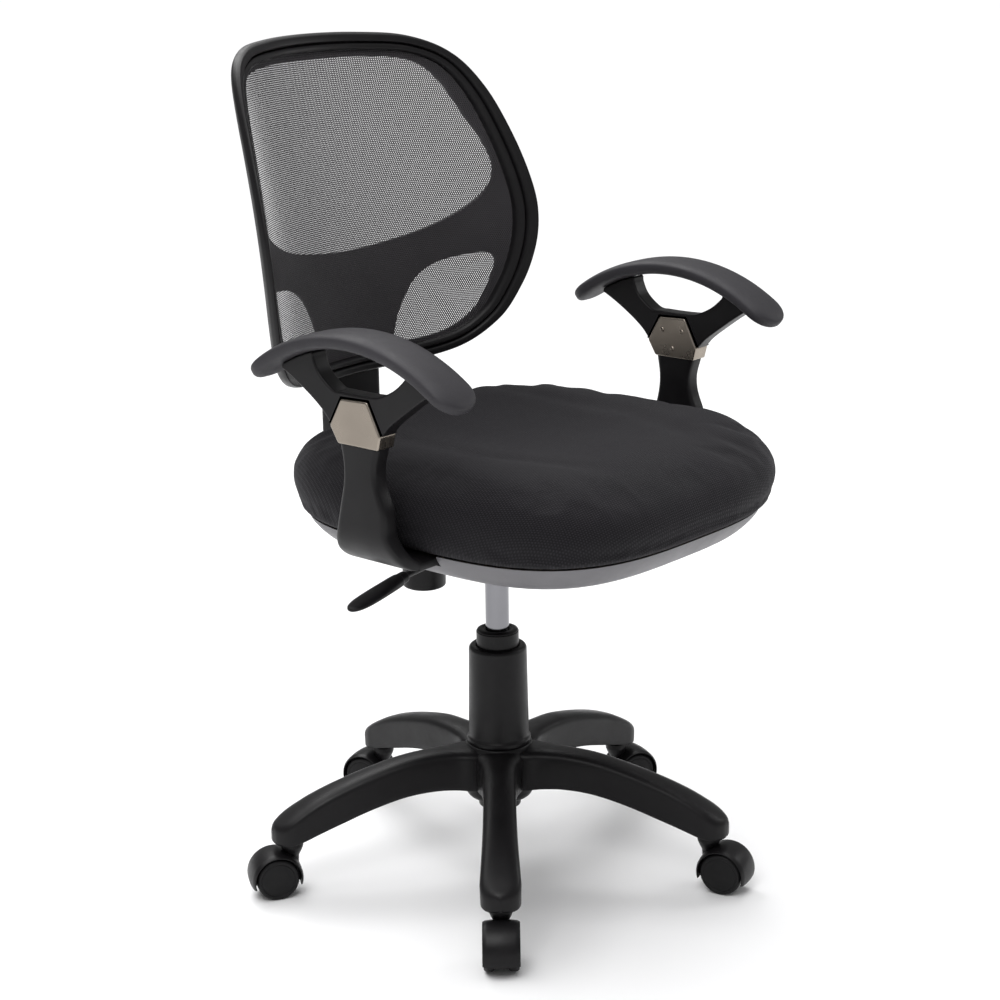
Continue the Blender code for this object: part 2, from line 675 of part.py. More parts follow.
def lever_rod():
    """Bent steel rod; its inner end lies over the valve pin."""
    rings = []
    path = [Vector(p) for p in lever_path()]
    for s, point in enumerate(path):
        ahead = path[min(s + 1, len(path) - 1)]
        behind = path[max(s - 1, 0)]
        run = (ahead - behind).normalized()
        side = run.cross(Vector((0, 0, 1))).normalized()
        up = side.cross(run)
        rings.append([point + LEVER_ROD_R * (side * math.cos(2 * math.pi * k / 12)
                                             + up * math.sin(2 * math.pi * k / 12))
                      for k in range(12)])
    return place("lever_rod", skin(rings), "black_paint")


def lever_paddle():
    """Moulded paddle on the rod's outer end: a stepped collar and a flat leaf-shaped grip."""
    stations = ((0.000, 0.014, 0.012), (0.010, 0.015, 0.013), (0.012, 0.019, 0.014),
                (0.030, 0.023, 0.012), (0.055, PADDLE_W, PADDLE_T), (0.078, PADDLE_W * 0.92,
                PADDLE_T * 0.8), (0.090, PADDLE_W * 0.62, PADDLE_T * 0.6),
                (0.094, PADDLE_W * 0.25, PADDLE_T * 0.3))
    length = PADDLE_ROOT_X - PADDLE_TIP_X
    root = Vector((PADDLE_ROOT_X, LEVER_Y - PADDLE_SHIFT_Y, LEVER_Z - LEVER_BEND_DROP))
    fall = (LEVER_DROOP - LEVER_BEND_DROP) / length
    rings = []
    for x, wide, thick in stations:
        x = x * length / 0.094
        centre = root + Vector((-x, -x * 0.06, -x * fall))
        rings.append([centre + Vector((0, wide / 2 * math.cos(2 * math.pi * k / 14),
                                       thick / 2 * math.sin(2 * math.pi * k / 14)))
                      for k in range(14)])
    ob = place("lever_paddle", skin(rings), "nylon")
    a, b = (Vector(p) for p in lever_path()[-2:])
    run = (b - a).normalized()
    side = run.cross(Vector((0, 0, 1))).normalized()
    up = side.cross(run)
    bore = [[centre + (LEVER_ROD_R + GAP) * (side * math.cos(2 * math.pi * k / 12)
                                             + up * math.sin(2 * math.pi * k / 12))
             for k in range(12)] for centre in (a, b + run * GAP * 2)]
    return boolean(ob, skin(bore), "DIFFERENCE")


# ---------------------------------------------------------------- seat
def seat_outline(half_w, half_d, count=32, power=3.2, middle=SEAT_Y):
    """Superellipse outline of the seat in plan, as (x, y) points."""
    points = []
    for i in range(count):
        a = 2 * math.pi * i / count
        c, s = math.cos(a), math.sin(a)
        points.append((half_w * math.copysign(abs(c) ** (2 / power), c),
                       middle + half_d * math.copysign(abs(s) ** (2 / power), s)))
    return points


def front_drop(y, share):
    """Waterfall edge: how far the cushion falls towards the sitter's knees."""
    reach = 0.16
    near = max(0.0, (SEAT_Y - SEAT_HALF_D + reach - y) / reach)
    return share * SEAT_FRONT_DROP * near ** 1.6


def cushion_ring(inset, z):
    """One level of the cushion."""
    share = (z - SEAT_BASE_Z) / (SEAT_TOP_Z - SEAT_BASE_Z)
    return [(x, y, z - front_drop(y, share))
            for x, y in seat_outline(SEAT_HALF_W - inset, SEAT_HALF_D - inset)]


def seat_cushion():
    """Upholstered foam pad, a plain closed solid with a pocket for the board."""
    rise = SEAT_TOP_Z - SEAT_BASE_Z
    levels = ((0.0225, 0.00), (0.011, 0.10), (0.0035, 0.27), (0.000, 0.48), (0.003, 0.70),
              (0.014, 0.87), (0.035, 0.965), (0.072, 1.00))
    rings = [cushion_ring(inset, SEAT_BASE_Z + rise * f) for inset, f in levels]
    rings.append(cushion_ring(0.150, SEAT_TOP_Z - SEAT_DISH * 0.7))
    rings.append(cushion_ring(0.230, SEAT_TOP_Z - SEAT_DISH))
    ob = place("seat_cushion", skin(rings), "knit")
    pocket = [[(x, y, z) for x, y in seat_outline(SEAT_HALF_W - BOARD_INSET + GAP,
                                                  SEAT_HALF_D - BOARD_INSET + GAP)]
              for z in (SEAT_BASE_Z - 0.01, SEAT_BASE_Z + BOARD_T + GAP)]
    return boolean(ob, skin(pocket), "DIFFERENCE")


def seat_board():
    """Pressed plywood board inside the cushion; everything under the seat bolts to it."""
    rings = [[(x, y, z) for x, y in seat_outline(SEAT_HALF_W - BOARD_INSET,
                                                 SEAT_HALF_D - BOARD_INSET)]
             for z in (SEAT_BASE_Z, SEAT_BASE_Z + BOARD_T)]
    return place("seat_board", skin(rings), "board")


def seat_pan():
    """Dished plastic cover under the seat, open round the mechanism and notched for the arms."""
    half_w = SEAT_HALF_W - PAN_INSET
    half_d = SEAT_HALF_D - PAN_INSET
    top = SEAT_BASE_Z - GAP
    depth = top - PAN_BOTTOM_Z
    levels = ((0.0, 0.0), (0.010, 0.38), (0.034, 0.78), (0.066, 1.0))
    outer = [[(x, y, top - depth * f) for x, y in seat_outline(half_w - inset, half_d - inset)]
             for inset, f in levels]
    front = MECH_FRONT_Y - PAN_CLEARANCE
    rear = SEAT_Y + SEAT_HALF_D - PAN_REAR_LIP
    opening = seat_outline(PAN_OPEN_HALF_W, (rear - front) / 2, power=7.0,
                           middle=(rear + front) / 2)
    floor_in = [[(x, y, z) for x, y in opening] for z in (PAN_BOTTOM_Z, PAN_BOTTOM_Z + PAN_WALL)]
    inner = [[(x, y, top - (depth - PAN_WALL) * f)
              for x, y in seat_outline(half_w - inset - PAN_WALL, half_d - inset - PAN_WALL)]
             for inset, f in reversed(levels)]
    ob = place("seat_pan", skin(outer + floor_in + inner, path_closed=True), "pan_plastic")
    foot_low = top - ARM_FOOT_T - 2 * GAP
    for side in (-1, 1):
        ends = sorted((side * (ARM_FOOT_REACH_X - 0.02), side * (SEAT_HALF_W + 0.02)))
        notch = block((ends[0], foot_y()[0] - 0.001, foot_low),
                      (ends[1], foot_y()[1] + 0.001, top + 0.01))
        boolean(ob, notch, "DIFFERENCE")
    half = max(BAR_W, MECH_W) / 2 + SLIP * 6
    slot = block((-half, rear - 0.02, PAN_BOTTOM_Z - 0.01),
                 (half, SEAT_Y + SEAT_HALF_D, top + 0.01))
    boolean(ob, slot, "DIFFERENCE")
    plate_half = SEAT_PLATE_W / 2 + GAP
    plate_room = block((-plate_half, MECH_FRONT_Y - 0.015, top - SEAT_PLATE_T - 3 * GAP),
                       (plate_half, MECH_REAR_Y + 0.01 + GAP, top + 0.01))
    return boolean(ob, plate_room, "DIFFERENCE")


# ---------------------------------------------------------------- back
def back_front_y(x, z):
    """Depth of the back's front surface: a gentle lengthwise curve and a wrap round the sides."""
    wrap = BACK_WRAP_R - math.sqrt(BACK_WRAP_R ** 2 - x * x)
    return BACK_LEAN_Y + BACK_CURVE * (z - BACK_LEAN_Z) ** 2 - wrap


def back_outline(steps=3):
    """Closed outer outline of the back in front view, as (x, z) points, clockwise from the top."""
    half = [(0.0, 0.969), (0.075, 0.9670), (0.133, 0.9605), (0.174, 0.940), (0.1985, 0.900),
            (0.2150, 0.840), (0.2250, 0.780), (0.2262, 0.740), (0.2205, 0.700),
            (0.2070, 0.657), (0.184, 0.6155), (0.142, 0.585), (0.075, 0.5735), (0.0, BACK_BOTTOM_Z)]
    whole = half + [(-x, z) for x, z in reversed(half[1:-1])]
    ring = whole[-1:] + whole + whole[:2]
    run = smooth_run(ring, steps)
    return [tuple(p) for p in run[steps:steps + steps * len(whole)]]


def inward(outline, distance):
    """Offset of a closed clockwise outline towards its inside."""
    count = len(outline)
    shifted = []
    for i, point in enumerate(outline):
        run = Vector(outline[(i + 1) % count]) - Vector(outline[i - 1])
        run.normalize()
        shifted.append((point[0] + run.y * distance, point[1] - run.x * distance))
    return shifted


def back_ring(outline, section):
    """Sweep a section of (inward, depth) offsets round an outline laid on the back's surface."""
    offsets = [inward(outline, d) for d, _ in section]
    rings = []
    for i in range(len(outline)):
        ring = []
        for (_, depth), shifted in zip(section, offsets):
            x, z = shifted[i]
            ring.append((x, back_front_y(x, z) + depth, z))
        rings.append(ring)
    return skin(rings, path_closed=True)


def back_slab(front, thickness, half_w=0.236, low=0.55, high=0.99, across=14, along=9):
    """Curved sheet behind the back's front surface, to be trimmed to an outline."""
    rings = []
    for j in range(along + 1):
        z = low + (high - low) * j / along
        xs = [-half_w + 2 * half_w * i / across for i in range(across + 1)]
        ring = [(x, back_front_y(x, z) + front, z) for x in xs]
        ring += [(x, back_front_y(x, z) + front + thickness, z) for x in reversed(xs)]
        rings.append(ring)
    return skin(rings)


def back_prism(outline):
    """Outline of (x, z) points run through the whole back from front to rear."""
    upright = Matrix(((1, 0, 0, 0), (0, 0, 1, 0.0), (0, 1, 0, 0), (0, 0, 0, 1)))
    return moved(plate(outline, 0.40), upright)


def web_gap(upper):
    """Windows cut through the frame's web: one above the lumbar band, two below it."""
    if upper:
        half = [(0.0, 0.7185), (0.050, 0.7215), (0.109, 0.732), (0.1554, 0.7507),
                (0.186, 0.7745), (0.1965, 0.800), (0.192, 0.829), (0.178, 0.864),
                (0.161, 0.905), (0.1415, 0.927), (0.110, 0.936), (0.060, 0.939), (0.0, 0.9395)]
        loop = half + [(-x, z) for x, z in reversed(half[1:-1])]
        return [loop]
    right = [(0.066, 0.603), (0.0665, 0.626), (0.0775, 0.652), (0.096, 0.6765), (0.123, 0.6915),
             (0.160, 0.6985), (0.182, 0.6985), (0.189, 0.688), (0.1845, 0.670), (0.175, 0.645),
             (0.159, 0.622), (0.1345, 0.6055), (0.100, 0.5995)]
    return [right, [(-x, z) for x, z in reversed(right)]]


def back_frame():
    """Moulded frame: outer rim, rear flange, lumbar band and central stalk in one piece."""
    outline = back_outline()
    behind = RIM_BAND + RIM_GROOVE + CARRIER_BAND + 0.003
    flange = CARRIER_DEPTH + 0.001 + GAP
    section = [(0.0, 0.004), (0.003, 0.0), (RIM_BAND - 0.002, 0.0), (RIM_BAND, 0.002),
               (RIM_BAND, flange), (behind, flange), (behind, RIM_DEPTH), (0.004, RIM_DEPTH),
               (0.0, RIM_DEPTH - 0.004)]
    ob = place("back_frame", back_ring(outline, section), "nylon")
    web = guide("back_web_guide", back_slab(web_front(), WEB_T), "nylon")
    combine(web, guide("back_trim_guide", back_prism(inward(outline, RIM_BAND + 0.0065)),
                       "nylon"), "INTERSECT")
    for window in web_gap(True) + web_gap(False):
        boolean(web, back_prism(window), "DIFFERENCE")
    half = BAR_W / 2
    boss = block((-half, BACK_LEAN_Y + web_front() + WEB_T / 2, 0.606),
                 (half, bar_face_y() - GAP, 0.650))
    boolean(web, boss, "UNION")
    return combine(ob, web, "UNION")


def web_front():
    """Depth of the web's front face behind the rim's front."""
    return CARRIER_DEPTH + WEB_CLEARANCE


def mesh_carrier():
    """Inner ring that stretches the mesh and snaps into the frame."""
    low = RIM_BAND + RIM_GROOVE
    high = low + CARRIER_BAND
    section = [(low, 0.003), (low + 0.002, 0.001), (high - 0.002, 0.001), (high, 0.003),
               (high, CARRIER_DEPTH), (low, CARRIER_DEPTH)]
    return place("mesh_carrier", back_ring(back_outline(), section), "nylon")


def back_mesh():
    """Woven mesh, a thin sheet stretched inside the carrier in front of the web."""
    edge = RIM_BAND + RIM_GROOVE + CARRIER_BAND + GAP
    ob = place("back_mesh", back_slab(CARRIER_DEPTH - 0.0015 - MESH_T, MESH_T), "mesh")
    return boolean(ob, back_prism(inward(back_outline(), edge)), "INTERSECT")


def bar_face_y():
    """Front face of the back bar's upright, behind the frame's stalk."""
    return BACK_LEAN_Y + RIM_DEPTH + 0.0045


def bar_low_z():
    """Underside of the back bar's foot below the seat plate."""
    return SEAT_BASE_Z - SEAT_PLATE_T - BAR_T - 3 * GAP


def back_bar():
    """Flat steel bar, bent in a J: under the seat plate, out and up behind the back."""
    top = bar_low_z() + BAR_T
    face = bar_face_y()
    outer = [(BAR_FRONT_Y, bar_low_z())]
    inner = [(BAR_FRONT_Y, top)]
    centre = (face - BAR_BEND_R, top + BAR_BEND_R)
    for s in range(7):
        a = -math.pi / 2 + math.pi / 2 * s / 6
        inner.append((centre[0] + BAR_BEND_R * math.cos(a), centre[1] + BAR_BEND_R * math.sin(a)))
        big = BAR_BEND_R + BAR_T
        outer.append((centre[0] + big * math.cos(a), centre[1] + big * math.sin(a)))
    inner.append((face, BAR_TOP_Z))
    outer.append((face + BAR_T, BAR_TOP_Z))
    across = Matrix(((0, 0, 1, -BAR_W / 2), (1, 0, 0, 0), (0, 1, 0, 0), (0, 0, 0, 1)))
    return place("back_bar", moved(plate(outer + inner[::-1], BAR_W), across), "black_paint")


def spine_cover():
    """Plastic sleeve round the back bar between the seat and the back."""
    low = bar_low_z() + BAR_T + BAR_BEND_R + 0.004
    high = BACK_BOTTOM_Z - 0.001
    front = bar_face_y() - 0.012
    rear = bar_face_y() + BAR_T + SPINE_COVER_WALL + 0.001
    bm = block((-SPINE_COVER_HALF_W, front, low), (SPINE_COVER_HALF_W, rear, high))
    ob = bevelled(place("spine_cover", bm, "nylon"), 0.003)
    half = BAR_W / 2 + GAP
    inside = block((-half, bar_face_y() - GAP, low - 0.01), (half, bar_face_y() + BAR_T + GAP,
                                                             high + 0.01))
    return boolean(ob, inside, "DIFFERENCE")


# ---------------------------------------------------------------- arms
def foot_y():
    """Fore-and-aft span of the arm's foot under the seat."""
    return (SEAT_Y - ARM_FOOT_HALF, SEAT_Y + ARM_FOOT_HALF)


def arm_post(side):
    """Lower arm: an upright plate that curves in under the seat as a broad foot."""
    low = SEAT_BASE_Z - GAP - ARM_FOOT_T
    outer_r = 0.046
    face = ARM_X + ARM_T / 2
    stations = [(ARM_FOOT_REACH_X, low, 0.0, -ARM_FOOT_HALF, ARM_FOOT_HALF)]
    stations.append((face - outer_r, low, 0.0, -ARM_FOOT_HALF, ARM_FOOT_HALF))
    for a, share in ((25, 0.98), (50, 0.93), (75, 0.80), (90, 0.72)):
        t = math.radians(a)
        stations.append((face - outer_r + outer_r * math.sin(t),
                         low + outer_r * (1 - math.cos(t)), t,
                         -ARM_FOOT_HALF * share, ARM_FOOT_HALF * share))
    for z, front, rear in ((0.515, -0.034, 0.030), (0.540, -0.024, 0.024), (0.560, -0.022, 0.023),
                           (0.5817, -0.028, 0.0265)):
        stations.append((face, z, math.pi / 2, front, rear))
    rings = []
    for x, z, t, front, rear in stations:
        lean = min(1.0, t / (math.pi / 2))
        thick = ARM_FOOT_T + (ARM_T - ARM_FOOT_T) * lean
        step = Vector((-math.sin(t), 0, math.cos(t))) * thick
        soft = 0.003
        ring = []
        for u, v in ((0.0, front + soft), (soft / thick, front), (1 - soft / thick, front),
                     (1.0, front + soft), (1.0, rear - soft), (1 - soft / thick, rear),
                     (soft / thick, rear), (0.0, rear - soft)):
            p = Vector((x, SEAT_Y + v, z)) + step * u
            ring.append((side * p.x, p.y, p.z))
        rings.append(ring)
    word = "left" if side > 0 else "right"
    return place(f"arm_post_{word}", skin(rings), "nylon")


def side_plate(outline, thickness, side):
    """Plate cut to an outline of (y, z) points, centred on one arm's plane."""
    x = side * ARM_X - thickness / 2
    across = Matrix(((0, 0, 1, x), (1, 0, 0, 0), (0, 1, 0, 0), (0, 0, 0, 1)))
    return moved(plate(outline, thickness), across)


JUNCTION = ((-0.0330, 0.5820), (-0.0220, 0.6000), (-0.0390, 0.6300), (-0.0765, 0.6315),
            (-0.0940, 0.5970), (-0.0900, 0.5820))


def arm_junction(side):
    """Metal-finish cap that joins post and yoke."""
    word = "left" if side > 0 else "right"
    ob = place(f"arm_junction_{word}", side_plate(JUNCTION, JUNCTION_T, side), "champagne")
    return bevelled(ob, 0.0022)


def pad_under_z(y):
    """Underside of the arm pad above a point of the arm."""
    (y0, z0), (y1, z1) = PAD_REAR, PAD_FRONT
    chord = math.hypot(y1 - y0, z1 - z0)
    radius = (chord ** 2 / 4 + PAD_SAG ** 2) / (2 * PAD_SAG)
    mid_y, mid_z = (y0 + y1) / 2, (z0 + z1) / 2
    centre = mid_z + PAD_SAG - radius
    return centre + math.sqrt(max(0.0, (radius - PAD_T / 2) ** 2 - (y - mid_y) ** 2))


def arm_yoke(side):
    """Upper arm: two branches that spread from the cap to the pad and close the arm's loop."""
    rear_in = [(-0.0395 + 0.0006, 0.6304), (-0.0250, 0.6370), (-0.0080, 0.6510),
               (0.0000, 0.6650), (0.0010, 0.6720)]
    rear_out = [(0.0490, 0.6505), (0.0290, 0.6400), (0.0058, 0.6255), (-0.0110, 0.6125),
                (-0.0216, 0.6006)]
    front_in = [(-0.0771, 0.6319), (-0.0920, 0.6380), (-0.1120, 0.6480), (-0.1265, 0.6600),
                (-0.1295, 0.6655)]
    front_out = [(-0.1640, 0.6500), (-0.1486, 0.6405), (-0.1280, 0.6260), (-0.1060, 0.6095),
                 (-0.0947, 0.5976)]
    seat_line = [(y, pad_under_z(y) - GAP) for y in (0.002, 0.016, 0.032, 0.048)]
    front_line = [(y, pad_under_z(y) - GAP) for y in (-0.130, -0.142, -0.153, -0.163)]
    rear = rear_in + seat_line + rear_out
    front = front_in + front_line + front_out
    word = "left" if side > 0 else "right"
    ob = place(f"arm_yoke_{word}", side_plate(rear, ARM_T, side), "nylon")
    boolean(ob, side_plate(front, ARM_T, side), "UNION")
    bridge = [(-0.0330, 0.6304 + GAP), (-0.0270, 0.6360), (-0.0420, 0.6365), (-0.0600, 0.6365),
              (-0.0780, 0.6370), (-0.0900, 0.6370), (-0.0790, 0.6318 + GAP)]
    return boolean(ob, side_plate(bridge, ARM_T * 0.98, side), "UNION")


def arm_pad(side):
    """Soft moulded pad, an arch with rounded ends."""
    (y0, z0), (y1, z1) = PAD_REAR, PAD_FRONT
    chord = math.hypot(y1 - y0, z1 - z0)
    radius = (chord ** 2 / 4 + PAD_SAG ** 2) / (2 * PAD_SAG)
    centre = Vector((0, (y0 + y1) / 2, (z0 + z1) / 2 + PAD_SAG - radius))
    half_angle = math.asin(chord / 2 / radius)
    steps, around = 14, 12
    cap = 0.011 / radius
    angles = [(-half_angle - cap, 0.30), (-half_angle - cap * 0.8, 0.66),
              (-half_angle - cap * 0.3, 0.90)]
    angles += [(-half_angle + 2 * half_angle * s / steps, 1.0) for s in range(steps + 1)]
    angles += [(half_angle + cap * 0.3, 0.90), (half_angle + cap * 0.8, 0.66),
               (half_angle + cap, 0.30)]
    rings = []
    for a, share in angles:
        out = Vector((0, math.sin(a), math.cos(a)))
        ring = []
        for k in range(around):
            t = 2 * math.pi * (k + 0.5) / around
            wide = math.copysign(abs(math.cos(t)) ** 0.6, math.cos(t)) * PAD_W / 2 * share
            high = math.copysign(abs(math.sin(t)) ** 0.6, math.sin(t)) * PAD_T / 2
            high *= 1.0 if share == 1.0 else share ** 0.5
            p = centre + out * (radius + high)
            ring.append((side * ARM_X + wide, p.y, p.z))
        rings.append(ring)
    word = "left" if side > 0 else "right"
    return place(f"arm_pad_{word}", skin(rings), "polyurethane")


# ---------------------------------------------------------------- assembly
def world_place(ob):
    """World position of an object that is only moved, never turned, by its parents."""
    at = Vector(ob.location)
    while ob.parent:
        ob = ob.parent
        at += ob.location
    return at


def joint(name, at, carrier=None):
    """Empty on a joint's axis; what hangs on it moves with that joint."""
    empty = bpy.data.objects.new(name, None)
    empty.empty_display_size = 0.02
    empty.location = at
    bpy.context.scene.collection.objects.link(empty)
    if carrier:
        empty.location -= world_place(carrier)
        empty.parent = carrier
    return empty


def hang(carrier, *pieces):
    """Parent pieces to a joint and leave them where they are."""
    for piece in pieces:
        piece.location -= world_place(carrier)
        piece.parent = carrier


def lift_and_seat():
    """Everything above the column, on its swivel, height and tilt joints."""
    spindle = joint("swivel_joint", (0, 0, TUBE_BOTTOM_Z))
    hang(spindle, piston_rod(), thrust_bearing())
    lift = joint("height_joint", (0, 0, CYLINDER_BOTTOM_Z), spindle)
    hang(lift, gas_cylinder(), rod_gland(), mechanism_housing(), tilt_axle())
    hang(joint("valve_joint", (0, 0, CYLINDER_TOP_Z), lift), valve_pin())
    hang(joint("cup_joint", (0, KNOB_Y, spring_base_z()), lift), spring_cup(), tilt_spring())
    hang(joint("knob_joint", (0, KNOB_Y, KNOB_BOTTOM_Z), lift), tension_knob(), tension_screw())
    carrier = joint("lever_slide_joint", (-pivot_x(), LEVER_Y, LEVER_Z), lift)
    hang(carrier, lever_bush())
    lever = joint("lever_joint", (-pivot_x(), LEVER_Y, LEVER_Z), carrier)
    hang(lever, lever_rod(), lever_paddle())
    tilt = joint("tilt_joint", (0, TILT_Y, TILT_Z), lift)
    hang(tilt, seat_plate(), seat_board(), seat_cushion(), seat_pan())
    hang(tilt, back_bar(), spine_cover(), back_frame(), mesh_carrier(), back_mesh())
    for side in (-1, 1):
        hang(tilt, arm_post(side), arm_junction(side), arm_yoke(side), arm_pad(side))


def caster(i):
    """One caster: it swivels about its stem and rolls on its axle."""
    at = leg_heading(i) * STEM_CIRCLE_R
    swivel = joint(f"caster_{i + 1}_swivel_joint", at)
    hang(swivel, caster_housing(i), caster_stem(i))
    axle_at = caster_frame(i) @ axle_place() @ Vector((0, 0, 0))
    roll = joint(f"caster_{i + 1}_roll_joint", axle_at, swivel)
    hang(roll, caster_axle(i), caster_wheel(i, -1), caster_wheel(i, 1))


def build():
    clear_scene()
    star_base()
    gas_column()
    column_bush()
    column_cover()
    lift_and_seat()
    for i in range(LEG_COUNT):
        caster(i)


build()
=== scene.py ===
"""Swivel office chair with a mesh back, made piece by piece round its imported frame.

Metres, +Z up: the gas column stands on the Z axis, the sitter faces -Y and the lever is on
the -X side. Sections follow the chair as it is put together, from the floor up.
"""
import math

import bmesh
import bpy
import numpy as np
from mathutils import Matrix, Vector


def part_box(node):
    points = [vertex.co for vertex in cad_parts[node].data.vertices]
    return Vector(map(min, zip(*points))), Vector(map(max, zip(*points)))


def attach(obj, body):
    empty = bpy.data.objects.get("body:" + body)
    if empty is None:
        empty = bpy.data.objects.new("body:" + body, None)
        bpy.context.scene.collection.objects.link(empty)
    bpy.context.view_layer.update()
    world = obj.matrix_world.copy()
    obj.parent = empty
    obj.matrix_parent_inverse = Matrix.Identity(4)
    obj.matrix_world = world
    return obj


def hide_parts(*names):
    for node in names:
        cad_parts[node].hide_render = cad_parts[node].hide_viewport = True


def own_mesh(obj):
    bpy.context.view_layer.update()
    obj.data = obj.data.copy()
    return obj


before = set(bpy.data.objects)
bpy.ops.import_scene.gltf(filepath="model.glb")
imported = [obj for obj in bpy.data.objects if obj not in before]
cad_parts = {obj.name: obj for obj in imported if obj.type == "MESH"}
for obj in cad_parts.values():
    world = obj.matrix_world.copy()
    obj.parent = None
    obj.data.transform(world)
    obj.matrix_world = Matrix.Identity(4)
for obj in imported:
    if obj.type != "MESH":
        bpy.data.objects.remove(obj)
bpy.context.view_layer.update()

# ------------------------------------------------------------------ star base
# One moulding in glass-filled nylon: five arched channel legs that spring from a hub with
# swept roots and end in round bosses. The gas column is pressed up into the hub's bore.
GAP = 0.0003  # clear width between two pieces that touch
LEG_STATIONS = np.array([
    # along, top, lower edge, half width
    (0.026, 0.1535, 0.1035, 0.0290), (0.042, 0.1535, 0.1045, 0.0262),
    (0.060, 0.1533, 0.1062, 0.0212), (0.085, 0.1527, 0.1076, 0.0190),
    (0.120, 0.1490, 0.1055, 0.0188), (0.160, 0.1395, 0.0965, 0.0190),
    (0.200, 0.1270, 0.0840, 0.0200), (0.228, 0.1158, 0.0750, 0.0213),
    (0.246, 0.1065, 0.0690, 0.0224), (0.258, 0.0995, 0.0665, 0.0228),
    (0.268, 0.0930, 0.0660, 0.0202), (0.2755, 0.0880, 0.0662, 0.0126),
    (0.2790, 0.0835, 0.0680, 0.0040)])
LEG_WALL = 0.005
CROWN_H = 0.012
STEM_CIRCLE_R = 0.256
FIRST_LEG_DEG = -49.0
LEGS = 5


def smooth_run(points, steps, closed=False):
    """Catmull-Rom curve through the rows of an array: each span is the cubic
    0.5 (2b + (c-a) t + (2a-5b+4c-d) t^2 + (3b-a-3c+d) t^3) between rows b and c."""
    points = np.asarray(points, float)
    if closed:
        a, b = np.roll(points, 1, 0), points
        c, d = np.roll(points, -1, 0), np.roll(points, -2, 0)
    else:
        first, last = 2 * points[0] - points[1], 2 * points[-1] - points[-2]
        padded = np.vstack([first, points, last])
        a, b, c, d = padded[:-3], padded[1:-2], padded[2:-1], padded[3:]
    t = np.arange(steps)[None, :, None] / steps
    a, b, c, d = (p[:, None, :] for p in (a, b, c, d))
    run = 0.5 * (2 * b + (c - a) * t + (2 * a - 5 * b + 4 * c - d) * t ** 2
                 + (3 * b - a - 3 * c + d) * t ** 3)
    run = run.reshape(-1, points.shape[1])
    return run if closed else np.vstack([run, points[-1:]])


def softened(corners, radius, steps=4, closed=False):
    """Polyline whose corners are rounded: corner P becomes the curve
    (1-t)^2 A + 2t(1-t) P + t^2 B between points A and B at most a radius away from it."""
    p = np.asarray(corners, float)
    back, ahead = np.roll(p, 1, 0) - p, np.roll(p, -1, 0) - p
    back_len = np.maximum(np.linalg.norm(back, axis=1, keepdims=True), 1e-9)
    ahead_len = np.maximum(np.linalg.norm(ahead, axis=1, keepdims=True), 1e-9)
    r = np.minimum(np.minimum(np.reshape(radius, (-1, 1)), 0.46 * back_len), 0.46 * ahead_len)
    start, end = p + back / back_len * r, p + ahead / ahead_len * r
    t = np.linspace(0, 1, steps + 1)[None, :, None]
    run = (1 - t) ** 2 * start[:, None] + 2 * t * (1 - t) * p[:, None] + t ** 2 * end[:, None]
    if closed:
        return run.reshape(-1, p.shape[1])
    return np.vstack([p[:1], run[1:-1].reshape(-1, p.shape[1]), p[-1:]])


def skin(points, loop=False, ends="fan"):
    """Vertices and faces over a grid whose rows are closed cross-sections. With loop the last
    row joins the first; if not, both end rows are closed by a fan or by one flat face."""
    rows, cols = points.shape[:2]
    index = np.arange(rows * cols).reshape(rows, cols)
    beside = np.roll(index, -1, axis=1)
    if loop:
        quads = np.stack([index, beside, np.roll(beside, -1, 0), np.roll(index, -1, 0)], -1)
    else:
        quads = np.stack([index[:-1], beside[:-1], beside[1:], index[1:]], -1)
    verts, faces = points.reshape(-1, 3), quads.reshape(-1, 4).tolist()
    if not loop and ends == "fan":
        verts = np.vstack([verts, points[0].mean(0), points[-1].mean(0)])
        for row, hub in ((0, rows * cols), (rows - 1, rows * cols + 1)):
            faces += np.stack([index[row], beside[row], np.full(cols, hub)], -1).tolist()
    elif not loop:
        faces += [index[0].tolist(), index[-1].tolist()]
    return verts, faces


def turned(profile, sides=64, hollow=False):
    """Body of revolution: the profile's point (r, z) goes round to (r cos a, r sin a, z)."""
    profile = np.asarray(profile, float)
    a = np.linspace(0, 2 * np.pi, sides, endpoint=False)
    r, z = profile[:, :1], profile[:, 1:]
    points = np.stack([r * np.cos(a), r * np.sin(a), np.broadcast_to(z, (len(r), sides))], -1)
    return skin(points, loop=hollow)


def moved(shell, place):
    """The same shell carried by a 4 by 4 matrix."""
    verts, faces = shell
    place = np.array(place)
    return verts @ place[:3, :3].T + place[:3, 3], faces


def mesh_of(name, shells, sharp_deg=35.0):
    """One mesh of closed shells with faces outwards, smooth but for its sharper edges."""
    verts, faces, start = [], [], 0
    for shell_verts, shell_faces in shells:
        verts.append(np.asarray(shell_verts))
        faces += [[i + start for i in face] for face in shell_faces]
        start += len(shell_verts)
    mesh = bpy.data.meshes.new(name)
    mesh.from_pydata(np.vstack(verts).tolist(), [], faces)
    bm = bmesh.new()
    bm.from_mesh(mesh)
    bmesh.ops.remove_doubles(bm, verts=bm.verts, dist=2e-6)
    bmesh.ops.dissolve_degenerate(bm, edges=bm.edges, dist=1e-6)
    bmesh.ops.recalc_face_normals(bm, faces=bm.faces)
    bm.to_mesh(mesh)
    bm.free()
    mesh.shade_smooth()
    mesh.set_sharp_from_angle(angle=math.radians(sharp_deg))
    return mesh


def in_scene(name, data):
    """A new object over its data, linked into the scene."""
    ob = bpy.data.objects.new(name, data)
    bpy.context.scene.collection.objects.link(ob)
    return ob


